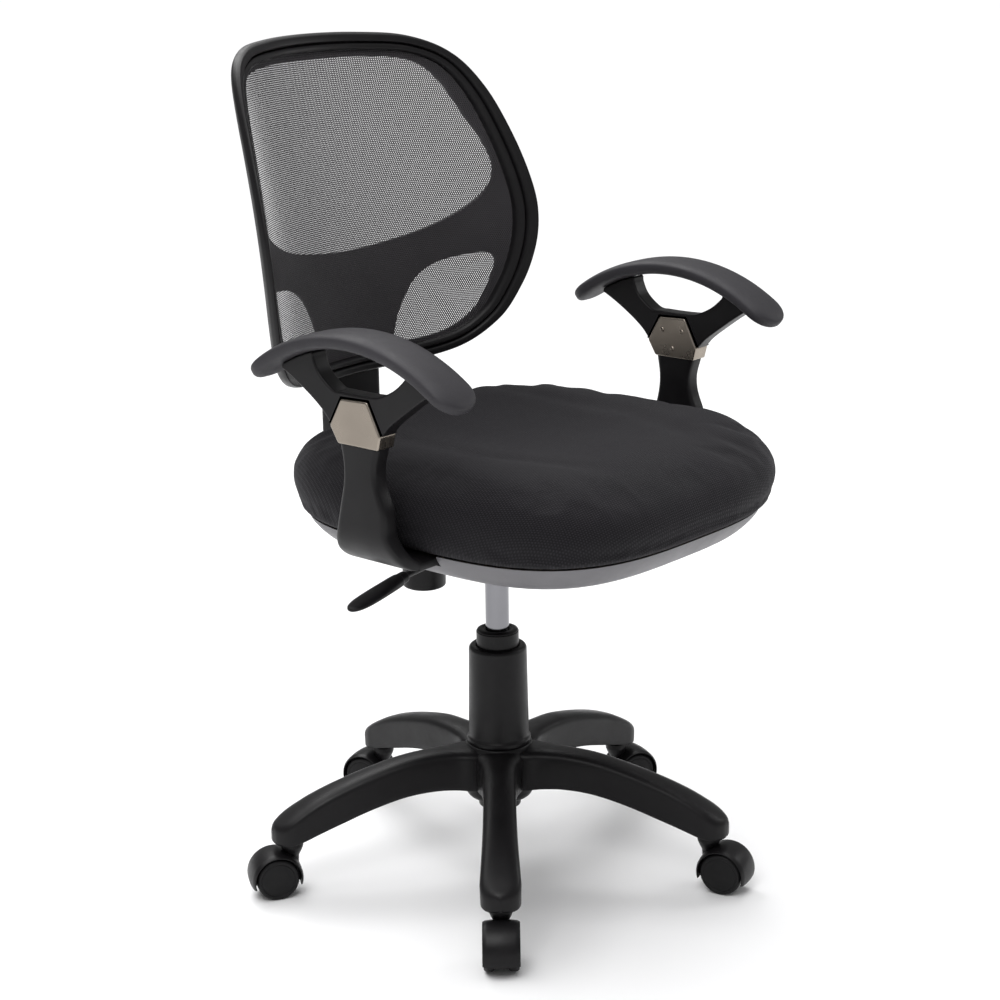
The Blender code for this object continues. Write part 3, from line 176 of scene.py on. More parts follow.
def piece(name, shells, finish, body, nodes=(), sharp_deg=35.0):
    """A finished piece of the chair: its mesh, material and carrying body."""
    mesh = shells if isinstance(shells, bpy.types.Mesh) else mesh_of(name, shells, sharp_deg)
    mesh.materials.clear()
    mesh.materials.append(finish)
    ob = in_scene(name, mesh)
    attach(ob, body)
    if nodes:
        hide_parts(*nodes)
    return ob


def even_faces(ob):
    """Normals weighted by face area, so flats stay flat beside their rounded edges."""
    mod = ob.modifiers.new("even faces", "WEIGHTED_NORMAL")
    mod.keep_sharp = True
    return ob


def add(tree, kind, inputs=(), **settings):
    """A shader node with its settings; an input takes a value or another node's output."""
    made = tree.nodes.new(kind)
    for key, value in settings.items():
        setattr(made, key, value)
    for key, value in dict(inputs).items():
        if isinstance(value, bpy.types.NodeSocket):
            tree.links.new(value, made.inputs[key])
        else:
            made.inputs[key].default_value = value
    return made


def effect(name, takes, gives):
    """An empty shader node group with named inputs and outputs."""
    kinds = {"color": "NodeSocketColor", "value": "NodeSocketFloat", "vector": "NodeSocketVector"}
    group = bpy.data.node_groups.new(name, "ShaderNodeTree")
    for label, kind in takes:
        group.interface.new_socket(name=label, in_out="INPUT", socket_type=kinds[kind])
    for label, kind in gives:
        group.interface.new_socket(name=label, in_out="OUTPUT", socket_type=kinds[kind])
    return group, group.nodes.new("NodeGroupInput"), group.nodes.new("NodeGroupOutput")


def shaded(tree, light, low, high):
    """A colour multiplied by a grey that runs from low to high with a mask."""
    color, mask = light
    grey = add(tree, "ShaderNodeMapRange", {"Value": mask, "From Min": 0.3, "From Max": 0.7,
                                            "To Min": low, "To Max": high})
    mix = add(tree, "ShaderNodeVectorMath", {0: color}, operation="MULTIPLY")
    tree.links.new(grey.outputs[0], mix.inputs[1])
    return mix.outputs[0]


# Moulded plastic: a spark-eroded grain, a slow drift of tone, and smoother rubbed patches.
moulded, taken, given = effect(
    "moulded plastic",
    (("Color", "color"), ("Roughness", "value"), ("Grain", "value"), ("Depth", "value")),
    (("Color", "color"), ("Roughness", "value"), ("Normal", "vector")))
spot = add(moulded, "ShaderNodeTexCoord").outputs["Object"]
drift = add(moulded, "ShaderNodeTexNoise", {"Vector": spot, "Scale": 9.0, "Detail": 3.0})
rubbed = add(moulded, "ShaderNodeTexNoise", {"Vector": spot, "Scale": 38.0, "Detail": 5.0,
                                             "Roughness": 0.65})
grain = add(moulded, "ShaderNodeTexNoise", {"Vector": spot, "Scale": taken.outputs["Grain"],
                                            "Detail": 2.0})
tone = shaded(moulded, (taken.outputs["Color"], drift.outputs["Fac"]), 0.86, 1.14)
matt = add(moulded, "ShaderNodeMapRange", {"Value": rubbed.outputs["Fac"], "From Min": 0.3,
                                           "From Max": 0.7, "To Min": -0.07, "To Max": 0.07})
rough = add(moulded, "ShaderNodeMath", {0: taken.outputs["Roughness"], 1: matt.outputs[0]},
            operation="ADD", use_clamp=True)
relief = add(moulded, "ShaderNodeBump", {"Height": grain.outputs["Fac"], "Strength": 1.0,
                                         "Distance": taken.outputs["Depth"]})
moulded.links.new(tone, given.inputs["Color"])
moulded.links.new(rough.outputs[0], given.inputs["Roughness"])
moulded.links.new(relief.outputs[0], given.inputs["Normal"])


def material(name, group, values, metallic=0.0, **sockets):
    """A Principled material fed by one effect; constants sit on the shader's own sockets."""
    made = bpy.data.materials.new(name)
    made.use_nodes = True
    tree = made.node_tree
    shader = tree.nodes["Principled BSDF"]
    shader.inputs["Metallic"].default_value = metallic
    for key, value in sockets.items():
        shader.inputs[key.replace("_", " ")].default_value = value
    fed = add(tree, "ShaderNodeGroup", node_tree=group)
    for key, value in values.items():
        fed.inputs[key].default_value = value
    for source, target in (("Color", "Base Color"), ("Roughness", "Roughness"),
                           ("Normal", "Normal"), ("Alpha", "Alpha")):
        if source in fed.outputs:
            tree.links.new(fed.outputs[source], shader.inputs[target])
    made.diffuse_color = values["Color"]
    return made


nylon = material("black nylon", moulded, {"Color": (0.0062, 0.0057, 0.0064, 1), "Roughness": 0.40,
                                          "Grain": 1500.0, "Depth": 0.00006},
                 Specular_IOR_Level=0.20)


def leg_shell(steps=6, crown=17):
    """One leg along +X. Each section is an arch, half width w and crown height h, whose top
    follows |y/w|^2.6 + |v/h|^2.6 = 1 on straight walls, with the channel cut up from below."""
    x, top, low, half = smooth_run(LEG_STATIONS, steps).T[:, :, None]
    a = np.linspace(0, np.pi, crown)[None, :]
    bend = 2 / 2.6
    h = np.minimum(CROWN_H, 0.75 * (top - low))
    arch_y = half * np.sign(np.cos(a)) * np.abs(np.cos(a)) ** bend
    arch_z = top - h + h * np.sin(a) ** bend
    drop = np.linspace(0, 1, 6)[None, 1:]
    lip = np.minimum(0.0016, 0.25 * half)
    side_z = (top - h) + (low + lip - top + h) * drop
    left = -half * (1 - 0.02 * drop)
    solid_from = np.clip((x - 0.224) / 0.014, 0, 1)
    roof = low + (top - 0.010 - low) * (1 - solid_from ** 2 * (3 - 2 * solid_from))
    inner = np.maximum(half - LEG_WALL, 0.3 * half)
    b = np.linspace(np.pi, 0, 13)[None, :]
    hollow_y = inner * np.sign(np.cos(b)) * np.abs(np.cos(b)) ** 0.7
    hollow_z = low + (roof - low) * np.sin(b) ** 0.35
    y = np.hstack([arch_y, left, -half + lip, hollow_y, half - lip, -left[:, ::-1]])
    z = np.hstack([arch_z, side_z, low, hollow_z, low, side_z[:, ::-1]])
    return skin(np.stack([np.broadcast_to(x, y.shape), y, z], -1))


hub = turned(softened([(0.0254, 0.0885), (0.0370, 0.0885), (0.0405, 0.0940), (0.0412, 0.1300),
                       (0.0405, 0.1500), (0.0385, 0.1558), (0.0254, 0.1558)],
                      0.0022, closed=True), 96, hollow=True)
star_shells = [hub]
for i in range(LEGS):
    heading = math.radians(FIRST_LEG_DEG + 360.0 * i / LEGS - 90.0)
    star_shells.append(moved(leg_shell(), Matrix.Rotation(heading, 4, "Z")))
piece("star_base_moulding", star_shells, nylon, "base", ["star_base"], sharp_deg=50.0)

# ------------------------------------------------------------------ casters
# Five twin-wheel casters in black nylon, snapped into the bosses by a steel stem. A barrel
# hood over the wheels carries the axle in its middle web; each wheel is a solid moulding.
WHEEL_R = 0.025
WHEEL_W = 0.0117
WHEEL_GAP = 0.0158
HOOD_R = 0.031
HOOD_CROWN = 4.0
HOOD_WALL = 0.0025
CASTER_TRAIL = 0.021
CASTER_TURNS_DEG = (0, -9, -28, 28, 0)

wheel_black = material("wheel black", moulded, {"Color": (0.0052, 0.0050, 0.0055, 1),
                                                "Roughness": 0.5, "Grain": 1900.0,
                                                "Depth": 0.00005},
                       Specular_IOR_Level=0.22)

# Worked metal: fine turning or drawing lines that change roughness and catch the light.
worked, taken, given = effect(
    "worked metal",
    (("Color", "color"), ("Roughness", "value"), ("Spread", "value"), ("Lines", "vector"),
     ("Depth", "value")),
    (("Color", "color"), ("Roughness", "value"), ("Normal", "vector")))
spot = add(worked, "ShaderNodeTexCoord").outputs["Object"]
drawn = add(worked, "ShaderNodeVectorMath", {0: spot, 1: taken.outputs["Lines"]},
            operation="MULTIPLY")
lines = add(worked, "ShaderNodeTexNoise", {"Vector": drawn.outputs[0], "Scale": 1.0,
                                           "Detail": 4.0})
cloud = add(worked, "ShaderNodeTexNoise", {"Vector": spot, "Scale": 14.0, "Detail": 3.0})
tone = shaded(worked, (taken.outputs["Color"], cloud.outputs["Fac"]), 0.92, 1.06)
swing = add(worked, "ShaderNodeMapRange", {"Value": lines.outputs["Fac"], "From Min": 0.3,
                                           "From Max": 0.7, "To Min": -1.0, "To Max": 1.0})
step = add(worked, "ShaderNodeMath", {0: swing.outputs[0], 1: taken.outputs["Spread"]},
           operation="MULTIPLY")
rough = add(worked, "ShaderNodeMath", {0: taken.outputs["Roughness"], 1: step.outputs[0]},
            operation="ADD", use_clamp=True)
relief = add(worked, "ShaderNodeBump", {"Height": lines.outputs["Fac"], "Strength": 1.0,
                                        "Distance": taken.outputs["Depth"]})
worked.links.new(tone, given.inputs["Color"])
worked.links.new(rough.outputs[0], given.inputs["Roughness"])
worked.links.new(relief.outputs[0], given.inputs["Normal"])

steel = material("machined steel", worked, {"Color": (0.46, 0.46, 0.47, 1), "Roughness": 0.32,
                                            "Spread": 0.08, "Lines": (60, 60, 900),
                                            "Depth": 0.00002}, metallic=1.0)


def hood_shell(steps=44, across=15):
    """Barrel hood: radius R - c y^2 about the axle, from just below it on one side to just
    below it on the other, with an even wall and softly rounded side edges."""
    half = WHEEL_GAP / 2 + WHEEL_W + 0.0010
    a = np.radians(np.linspace(-17.0, 197.0, steps))[:, None]
    out_y = np.linspace(-half, half, across)
    edge = np.minimum((half - np.abs(out_y)) / 0.0012, 1.0)
    ease = 0.0011 * (1 - np.sqrt(1 - (1 - edge) ** 2))
    out_r = HOOD_R - HOOD_CROWN * out_y ** 2 - ease
    in_r = HOOD_R - HOOD_CROWN * out_y ** 2 - HOOD_WALL + ease * 0.4
    r = np.concatenate([out_r, in_r[::-1]])[None, :]
    y = np.concatenate([out_y, out_y[::-1]])[None, :]
    points = np.stack([CASTER_TRAIL + r * np.cos(a), np.broadcast_to(y, (steps, 2 * across)),
                       WHEEL_R + r * np.sin(a)], -1)
    return skin(points, ends="flat")


def web_shell(steps=40):
    """Middle web between the wheels: a half disc as thick as the gap between them, less
    running clearance, with its rim hidden in the hood."""
    a = np.radians(np.linspace(-15.0, 195.0, steps))
    r = HOOD_R - 0.0012
    arc = np.stack([CASTER_TRAIL + r * np.cos(a), WHEEL_R + r * np.sin(a)], -1)
    thick = WHEEL_GAP / 2 - 0.0006
    rows = [np.stack([arc[:, 0], np.full(steps, y), arc[:, 1]], -1) for y in (-thick, thick)]
    return skin(np.stack(rows), ends="flat")


def wheel_shell(side):
    """Solid wheel about the axle: blind bore inside, rounded tread, ring and shallow dome on
    the outer face."""
    inner, outer = WHEEL_GAP / 2, WHEEL_GAP / 2 + WHEEL_W
    reach = inner + WHEEL_W * 0.6 + GAP
    run = [(0.0033, reach), (0.0033, inner), (0.0230, inner), (WHEEL_R, inner + 0.0020),
           (WHEEL_R, outer - 0.0026), (0.0232, outer - 0.0002), (0.0205, outer),
           (0.0198, outer - 0.0007), (0.0190, outer - 0.0001), (0.0120, outer + 0.0006),
           (0.0010, outer + 0.0009)]
    shell = turned(softened(run, 0.0010, 4), 72)
    across = Matrix.Rotation(math.radians(-90.0 * side), 4, "X")
    return moved(shell, Matrix.Translation((CASTER_TRAIL, 0, WHEEL_R)) @ across)


collar = turned(softened([(0.0070, 0.030), (0.0080, 0.0470), (0.0118, 0.0545), (0.0135, 0.0590),
                          (0.0135, 0.0655), (0.0062, 0.0655), (0.0062, 0.030)],
                         0.0012, closed=True), 48, hollow=True)
axle_ring = []
for side in (-1, 1):
    boss = turned(softened([(0.0034, 0.0), (0.0055, 0.0), (0.0055, 0.00045), (0.0034, 0.00045)],
                           0.0001, closed=True), 32, hollow=True)
    turn = Matrix.Rotation(math.radians(-90.0 * side), 4, "X")
    axle_ring.append(moved(boss, Matrix.Translation(
        (CASTER_TRAIL, side * (WHEEL_GAP / 2 - 0.0006), WHEEL_R)) @ turn))
for i in range(LEGS):
    number = i + 1
    heading = math.radians(FIRST_LEG_DEG + 360.0 * i / LEGS - 90.0)
    stem = Vector((math.cos(heading), math.sin(heading), 0)) * STEM_CIRCLE_R
    trail = heading + math.radians(CASTER_TURNS_DEG[i])
    place = Matrix.Translation(stem) @ Matrix.Rotation(trail, 4, "Z")
    housing = [moved(s, place) for s in [hood_shell(), web_shell(), collar] + axle_ring]
    even_faces(piece(f"caster_{number}_hood", housing, nylon, f"caster_{number}",
                     [f"caster_{number}_housing"]))
    for side, word in ((-1, "left"), (1, "right")):
        even_faces(piece(f"caster_{number}_{word}_wheel", [moved(wheel_shell(side), place)],
                         wheel_black, f"wheels_{number}",
                         [f"caster_{number}_wheel_{word}"]))
    stem_pin = softened([(0.0045, 0.0385), (0.0055, 0.0392), (0.0055, 0.0800), (0.0049, 0.0812),
                         (0.0049, 0.0836), (0.0055, 0.0848), (0.0055, 0.0915),
                         (0.0040, 0.0938)], 0.0005, 3)
    piece(f"caster_{number}_pin", [moved(turned(stem_pin, 32), place)], steel,
          f"caster_{number}", [f"caster_{number}_stem"])
    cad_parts[f"caster_{number}_axle"].data.materials.clear()
    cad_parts[f"caster_{number}_axle"].data.materials.append(steel)

# ------------------------------------------------------------------ gas column
# Painted steel tube with a plastic guide bush in its mouth and a plastic sleeve dropped over
# it. The chromed cylinder slides and turns in the bush; its rod is clipped to the tube floor.
TUBE_R = 0.025
COVER_TOP_Z = 0.276

black_paint = material("black powder coat", moulded, {"Color": (0.0056, 0.0054, 0.0058, 1),
                                                      "Roughness": 0.36, "Grain": 700.0,
                                                      "Depth": 0.00010},
                       Specular_IOR_Level=0.22)
chrome = material("hard chrome", worked, {"Color": (0.20, 0.20, 0.212, 1), "Roughness": 0.13,
                                          "Spread": 0.05, "Lines": (35, 35, 1400),
                                          "Depth": 0.000004}, metallic=1.0)

tube = softened([(0.0045, 0.0750), (TUBE_R, 0.0750), (TUBE_R, 0.2930), (0.0235, 0.2930),
                 (0.0235, 0.0790), (0.0045, 0.0790)], 0.0006, 3, closed=True)
piece("column_tube", [turned(tube, 72, hollow=True)], black_paint, "base",
      ["gas_column"])
bush = softened([(0.0145, 0.2180), (0.0232, 0.2180), (0.0232, 0.2933), (0.0242, 0.2933),
                 (0.0240, 0.2948), (0.0205, 0.2960), (0.0178, 0.2960), (0.0170, 0.2950),
                 (0.0145, 0.2955)], 0.0006, 3, closed=True)
piece("column_guide_bush", [turned(bush, 72, hollow=True)], nylon, "base",
      ["column_bush"])
cover = softened([(0.0326, 0.1563), (0.0380, 0.1563), (0.0380, 0.1613), (0.0358, 0.1645),
                  (0.0352, 0.2000), (0.0341, COVER_TOP_Z - 0.0032),
                  (0.0318, COVER_TOP_Z - 0.0002), (0.0262, COVER_TOP_Z),
                  (0.0255, COVER_TOP_Z - 0.0010), (0.0255, COVER_TOP_Z - 0.0040),
                  (0.0310, COVER_TOP_Z - 0.0065)], 0.0016, 5, closed=True)
piece("column_sleeve", [turned(cover, 96, hollow=True)], nylon, "base",
      ["column_cover"], sharp_deg=50.0)
cylinder = softened([(0.0122, 0.1800), (0.0140, 0.1800), (0.0140, 0.3910), (0.0120, 0.3940),
                     (0.0045, 0.3940), (0.0045, 0.3820), (0.0122, 0.3820)], 0.0007, 3,
                    closed=True)
piece("gas_cylinder_body", [turned(cylinder, 72, hollow=True)], chrome, "lift",
      ["gas_cylinder"])
for node, finish in (("piston_rod", chrome), ("thrust_bearing", steel), ("rod_gland", nylon),
                     ("valve_pin", steel)):
    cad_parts[node].data.materials.clear()
    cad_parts[node].data.materials.append(finish)
clip_a = np.linspace(0.35, 2 * np.pi - 0.35, 40)[:, None]
wire_a = np.linspace(0, 2 * np.pi, 10, endpoint=False)[None, :]
clip_r = 0.0052 + 0.0007 * np.cos(wire_a)
rod_clip = skin(np.stack([clip_r * np.cos(clip_a), clip_r * np.sin(clip_a),
                          0.0738 + 0.0007 * np.sin(wire_a) + 0 * clip_a], -1))
piece("rod_retaining_clip", [rod_clip], steel, "spindle")

# ------------------------------------------------------------------ tilt mechanism
# A pressed steel tray with the cylinder's socket welded in it, a pivot axle at its front, and
# a plate on two lugs that carries the seat. Edges are rolled, and the paint is a black coat.
def refined(node, name, finish, body, width):
    """The node's own shape with its facets merged and its edges broken by a small bevel."""
    bm = bmesh.new()
    bm.from_mesh(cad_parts[node].data)
    bmesh.ops.remove_doubles(bm, verts=bm.verts, dist=1e-6)
    bmesh.ops.dissolve_limit(bm, angle_limit=math.radians(1.0), verts=bm.verts, edges=bm.edges)
    mesh = bpy.data.meshes.new(name)
    bm.to_mesh(mesh)
    bm.free()
    mesh.shade_smooth()
    mesh.set_sharp_from_angle(angle=math.radians(35.0))
    ob = piece(name, mesh, finish, body, [node])
    mod = ob.modifiers.new("broken edges", "BEVEL")
    mod.width = width
    mod.segments = 2
    mod.limit_method = "ANGLE"
    mod.angle_limit = math.radians(50.0)
    return even_faces(ob)


refined("mechanism_housing", "mechanism_tray", black_paint, "lift", 0.0006)
refined("seat_plate", "seat_top_plate", black_paint, "seat", 0.0006)
for node, finish in (("tilt_axle", steel), ("spring_cup", steel), ("tension_screw", steel)):
    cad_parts[node].data.materials.clear()
    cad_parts[node].data.materials.append(finish)

SPRING_Y = 0.1155
spring_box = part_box("tilt_spring")
WIRE_R = 0.0024
COIL_R = 0.016
COIL_TURNS = 4
low_z, high_z = spring_box[0][2] + WIRE_R, spring_box[1][2] - WIRE_R
along = np.linspace(0, 1, 240)[:, None]
coil_a = 2 * np.pi * COIL_TURNS * along
pitch = (high_z - low_z) / (2 * np.pi * COIL_TURNS * COIL_R)
outward = np.stack([np.cos(coil_a), np.sin(coil_a), 0 * coil_a], -1)
forward = np.stack([-np.sin(coil_a), np.cos(coil_a), 0 * coil_a + pitch], -1)
forward /= np.linalg.norm(forward, axis=-1, keepdims=True)
upward = np.cross(outward, forward)
wire_a = np.linspace(0, 2 * np.pi, 12, endpoint=False)[None, :, None]
centre = outward * COIL_R + np.stack([0 * along, 0 * along + SPRING_Y,
                                      low_z + (high_z - low_z) * along], -1)
coil = skin(centre + WIRE_R * (outward * np.cos(wire_a) + upward * np.sin(wire_a)))
spring = piece("tilt_coil_spring", [coil], steel, "cup", ["tilt_spring"])
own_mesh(spring)

# Tension knob: a plain moulded grip with a soft lower edge and a parting groove under its top,
# turned to set the spring.
KNOB_LOW, KNOB_HIGH, KNOB_R = 0.3240, 0.3735, 0.026
knob_run = softened([(0.0010, KNOB_LOW + 0.0004), (0.0215, KNOB_LOW), (0.0258, KNOB_LOW + 0.0022),
                     (KNOB_R, KNOB_LOW + 0.008), (KNOB_R, KNOB_HIGH - 0.006),
                     (KNOB_R - 0.0007, KNOB_HIGH - 0.0055), (KNOB_R - 0.0007, KNOB_HIGH - 0.0045),
                     (KNOB_R, KNOB_HIGH - 0.004), (KNOB_R, KNOB_HIGH - 0.0015),
                     (0.0245, KNOB_HIGH), (0.0053, KNOB_HIGH), (0.0053, KNOB_LOW + 0.010),
                     (0.0010, KNOB_LOW + 0.010)], 0.0016, 4)
knob_place = Matrix.Translation((0, SPRING_Y, 0))
piece("tension_knob_grip", [moved(turned(knob_run, 96), knob_place)], nylon, "knob",
      ["tension_knob"])

# ------------------------------------------------------------------ height lever
# A bent steel rod from over the valve out through the tray's side, with a moulded paddle
# pushed on its end: a stepped collar that opens into a flat leaf for the fingers.
LEVER_Y, LEVER_Z, PIVOT_X = 0.014, 0.4065, 0.0405
ROD_R = 0.0035
PADDLE_ROOT_X, PADDLE_TIP_X = -0.146, -0.240
BEND_DROP, PADDLE_SHIFT_Y = 0.012, 0.006  # the rod's outer end, below and before its pivot
bush_half = 0.015
bush_run = softened([(0.0051, -bush_half), (0.0085, -bush_half), (0.0085, bush_half),
                     (0.0051, bush_half)], 0.0006, 3, closed=True)
bush_place = Matrix.Translation((-PIVOT_X, LEVER_Y, LEVER_Z)) @ Matrix.Rotation(-math.pi / 2,
                                                                              4, "Y")
piece("lever_guide_bush", [moved(turned(bush_run, 48, hollow=True), bush_place)], nylon,
      "lever_carrier", ["lever_bush"])


def swept(path, wide, thick, sides=24, power=2.0, side_dir=(0, 1, 0)):
    """Sections |u/w|^n + |v/t|^n = 1 carried along a path of points, with widths and
    thicknesses given at each point; u lies along side_dir and v across it and the run."""
    run = np.gradient(path, axis=0)
    run /= np.linalg.norm(run, axis=1, keepdims=True)
    side = np.broadcast_to(np.asarray(side_dir, float), run.shape)
    side = side - run * np.sum(side * run, axis=1, keepdims=True)
    side /= np.linalg.norm(side, axis=1, keepdims=True)
    up = np.cross(side, run)
    a = np.linspace(0, 2 * np.pi, sides, endpoint=False)[None, :, None]
    u = np.sign(np.cos(a)) * np.abs(np.cos(a)) ** (2 / power)
    v = np.sign(np.sin(a)) * np.abs(np.sin(a)) ** (2 / power)
    wide = np.reshape(wide, (-1, 1, 1)) / 2
    thick = np.reshape(thick, (-1, 1, 1)) / 2
    return skin(path[:, None] + side[:, None] * u * wide + up[:, None] * v * thick)


bend_x = PIVOT_X + bush_half + 0.002
rod_path = smooth_run(softened([(0.012, LEVER_Y, LEVER_Z), (-bend_x, LEVER_Y, LEVER_Z),
                                (-bend_x - 0.024, LEVER_Y - 0.001, LEVER_Z - 0.009),
                                (PADDLE_ROOT_X - 0.004, LEVER_Y - PADDLE_SHIFT_Y,
                                 LEVER_Z - BEND_DROP)],
                               0.008, 6), 2)
piece("lever_steel_rod", [swept(rod_path, np.full(len(rod_path), 2 * ROD_R),
                                np.full(len(rod_path), 2 * ROD_R))],
      black_paint, "lever", ["lever_rod"])
leaf = smooth_run([(0.0000, 0.0110, 0.0100), (0.0012, 0.0138, 0.0122), (0.0100, 0.0150, 0.0130),
                   (0.0118, 0.0178, 0.0138), (0.0210, 0.0205, 0.0134), (0.0360, 0.0236, 0.0116),
                   (0.0550, 0.0260, 0.0098), (0.0740, 0.0250, 0.0084), (0.0860, 0.0190, 0.0070),
                   (0.0920, 0.0105, 0.0050), (0.0940, 0.0030, 0.0020)], 6)
leaf_x = leaf[:, 0] * (PADDLE_ROOT_X - PADDLE_TIP_X) / 0.094
leaf_path = np.stack([PADDLE_ROOT_X - leaf_x, LEVER_Y - PADDLE_SHIFT_Y - 0.06 * leaf_x,
                      LEVER_Z - BEND_DROP - 0.149 * leaf_x], -1)
piece("lever_leaf_grip", [swept(leaf_path, leaf[:, 1], leaf[:, 2], sides=40, power=2.4)], nylon,
      "lever", ["lever_paddle"])

# ------------------------------------------------------------------ seat board and cushion
# A pressed plywood board carries everything under the seat. Moulded foam in a near-black
# spacer knit is pulled over it: crowned sides, a shallow dish and a dropped front edge.
SEAT_Y, SEAT_HALF_W, SEAT_HALF_D = -0.060, 0.245, 0.250
SEAT_BASE_Z, SEAT_TOP_Z = 0.4590, 0.5470
SEAT_POWER = 3.2
BOARD_INSET, BOARD_TOP_Z = 0.030, 0.471
CUSHION_LEVELS = np.array([
    # inset, share of the height
    (0.0295, 0.140), (0.0290, 0.020), (0.0250, 0.000), (0.0185, 0.020), (0.0125, 0.085),
    (0.0065, 0.180), (0.0025, 0.290), (0.0005, 0.400), (0.0000, 0.500), (0.0010, 0.610),
    (0.0045, 0.730), (0.0125, 0.850), (0.0290, 0.940), (0.0550, 0.985), (0.0900, 0.997),
    (0.1350, 0.965), (0.1800, 0.940), (0.2250, 0.930)])

# Spacer knit: three sets of waves cross to raise a close pattern of small round cells.
knit, taken, given = effect(
    "cell knit", (("Vector", "vector"), ("Pitch", "value")), (("Cells", "value"),))
waves = []
for turn in (90.0, 30.0, 150.0):
    dot = add(knit, "ShaderNodeVectorMath", {
        0: taken.outputs["Vector"],
        1: (math.cos(math.radians(turn)), math.sin(math.radians(turn)), 0.0)},
        operation="DOT_PRODUCT")
    phase = add(knit, "ShaderNodeMath", {0: dot.outputs["Value"], 1: taken.outputs["Pitch"]},
                operation="DIVIDE")
    wide = add(knit, "ShaderNodeMath", {0: phase.outputs[0], 1: 2 * math.pi / 0.8660254},
               operation="MULTIPLY")
    waves.append(add(knit, "ShaderNodeMath", {0: wide.outputs[0]}, operation="COSINE"))
two = add(knit, "ShaderNodeMath", {0: waves[0].outputs[0], 1: waves[1].outputs[0]},
          operation="ADD")
three = add(knit, "ShaderNodeMath", {0: two.outputs[0], 1: waves[2].outputs[0]},
            operation="ADD")
cells = add(knit, "ShaderNodeMapRange", {"Value": three.outputs[0], "From Min": -1.5,
                                         "From Max": 3.0})
knit.links.new(cells.outputs[0], given.inputs["Cells"])

seat_cloth = bpy.data.materials.new("near-black spacer knit")
seat_cloth.use_nodes = True
tree = seat_cloth.node_tree
shader = tree.nodes["Principled BSDF"]
shader.inputs["Sheen Weight"].default_value = 0.05
shader.inputs["Sheen Roughness"].default_value = 0.45
shader.inputs["Sheen Tint"].default_value = (0.86, 0.84, 0.92, 1)
shader.inputs["Specular IOR Level"].default_value = 0.22
spot = add(tree, "ShaderNodeTexCoord").outputs["Object"]
parts = add(tree, "ShaderNodeSeparateXYZ", {0: spot})
slide_x = add(tree, "ShaderNodeMath", {0: parts.outputs["Z"], 1: 0.8}, operation="MULTIPLY")
laid_x = add(tree, "ShaderNodeMath", {0: parts.outputs["X"], 1: slide_x.outputs[0]},
             operation="ADD")
laid_y = add(tree, "ShaderNodeMath", {0: parts.outputs["Y"], 1: slide_x.outputs[0]},
             operation="ADD")
laid = add(tree, "ShaderNodeCombineXYZ", {"X": laid_x.outputs[0], "Y": laid_y.outputs[0]})
cells = add(tree, "ShaderNodeGroup", {"Vector": laid.outputs[0], "Pitch": 0.0034},
            node_tree=knit)
fuzz = add(tree, "ShaderNodeTexNoise", {"Vector": spot, "Scale": 900.0, "Detail": 2.0})
worn = add(tree, "ShaderNodeTexNoise", {"Vector": spot, "Scale": 7.0, "Detail": 4.0})
face = add(tree, "ShaderNodeMix", {0: cells.outputs["Cells"], 6: (0.0030, 0.0027, 0.0036, 1),
                                   7: (0.0165, 0.0150, 0.0180, 1)}, data_type="RGBA")
tone = shaded(tree, (face.outputs[2], worn.outputs["Fac"]), 0.85, 1.15)
mixed = add(tree, "ShaderNodeMath", {0: fuzz.outputs["Fac"], 1: 0.45}, operation="MULTIPLY")
height = add(tree, "ShaderNodeMath", {0: cells.outputs["Cells"], 1: mixed.outputs[0]},
             operation="ADD")
relief = add(tree, "ShaderNodeBump", {"Height": height.outputs[0], "Strength": 0.8,
                                      "Distance": 0.0005})
matt = add(tree, "ShaderNodeMapRange", {"Value": worn.outputs["Fac"], "From Min": 0.3,
                                        "From Max": 0.7, "To Min": 0.78, "To Max": 0.94})
tree.links.new(tone, shader.inputs["Base Color"])
tree.links.new(matt.outputs[0], shader.inputs["Roughness"])
tree.links.new(relief.outputs[0], shader.inputs["Normal"])
seat_cloth.diffuse_color = (0.012, 0.011, 0.014, 1)


def seat_ring(inset, count=112):
    """Seat outline in plan, |x/a|^n + |y/b|^n = 1, at an inset from the widest."""
    a = np.linspace(0, 2 * np.pi, count, endpoint=False)[None, :]
    inset = np.reshape(inset, (-1, 1))
    c, s = np.cos(a), np.sin(a)
    x = (SEAT_HALF_W - inset) * np.sign(c) * np.abs(c) ** (2 / SEAT_POWER)
    y = SEAT_Y + (SEAT_HALF_D - inset) * np.sign(s) * np.abs(s) ** (2 / SEAT_POWER)
    return x, y


def front_drop(y, share):
    """Waterfall edge: (distance past the line 160 mm behind the front / 160 mm)^1.6."""
    near = np.clip((SEAT_Y - SEAT_HALF_D + 0.16 - y) / 0.16, 0, None)
    return share * 0.022 * near ** 1.6


def cushion_shell(slack):
    """The cushion a little slack all round, with a pocket under it for the board."""
    inset, share = smooth_run(CUSHION_LEVELS, 4).T
    rise = SEAT_TOP_Z - SEAT_BASE_Z
    x, y = seat_ring(inset + slack)
    share = np.clip(share, 0, None)[:, None]
    z = SEAT_BASE_Z + rise * share - front_drop(y, share) - slack * share
    return skin(np.stack([x, y, z], -1))


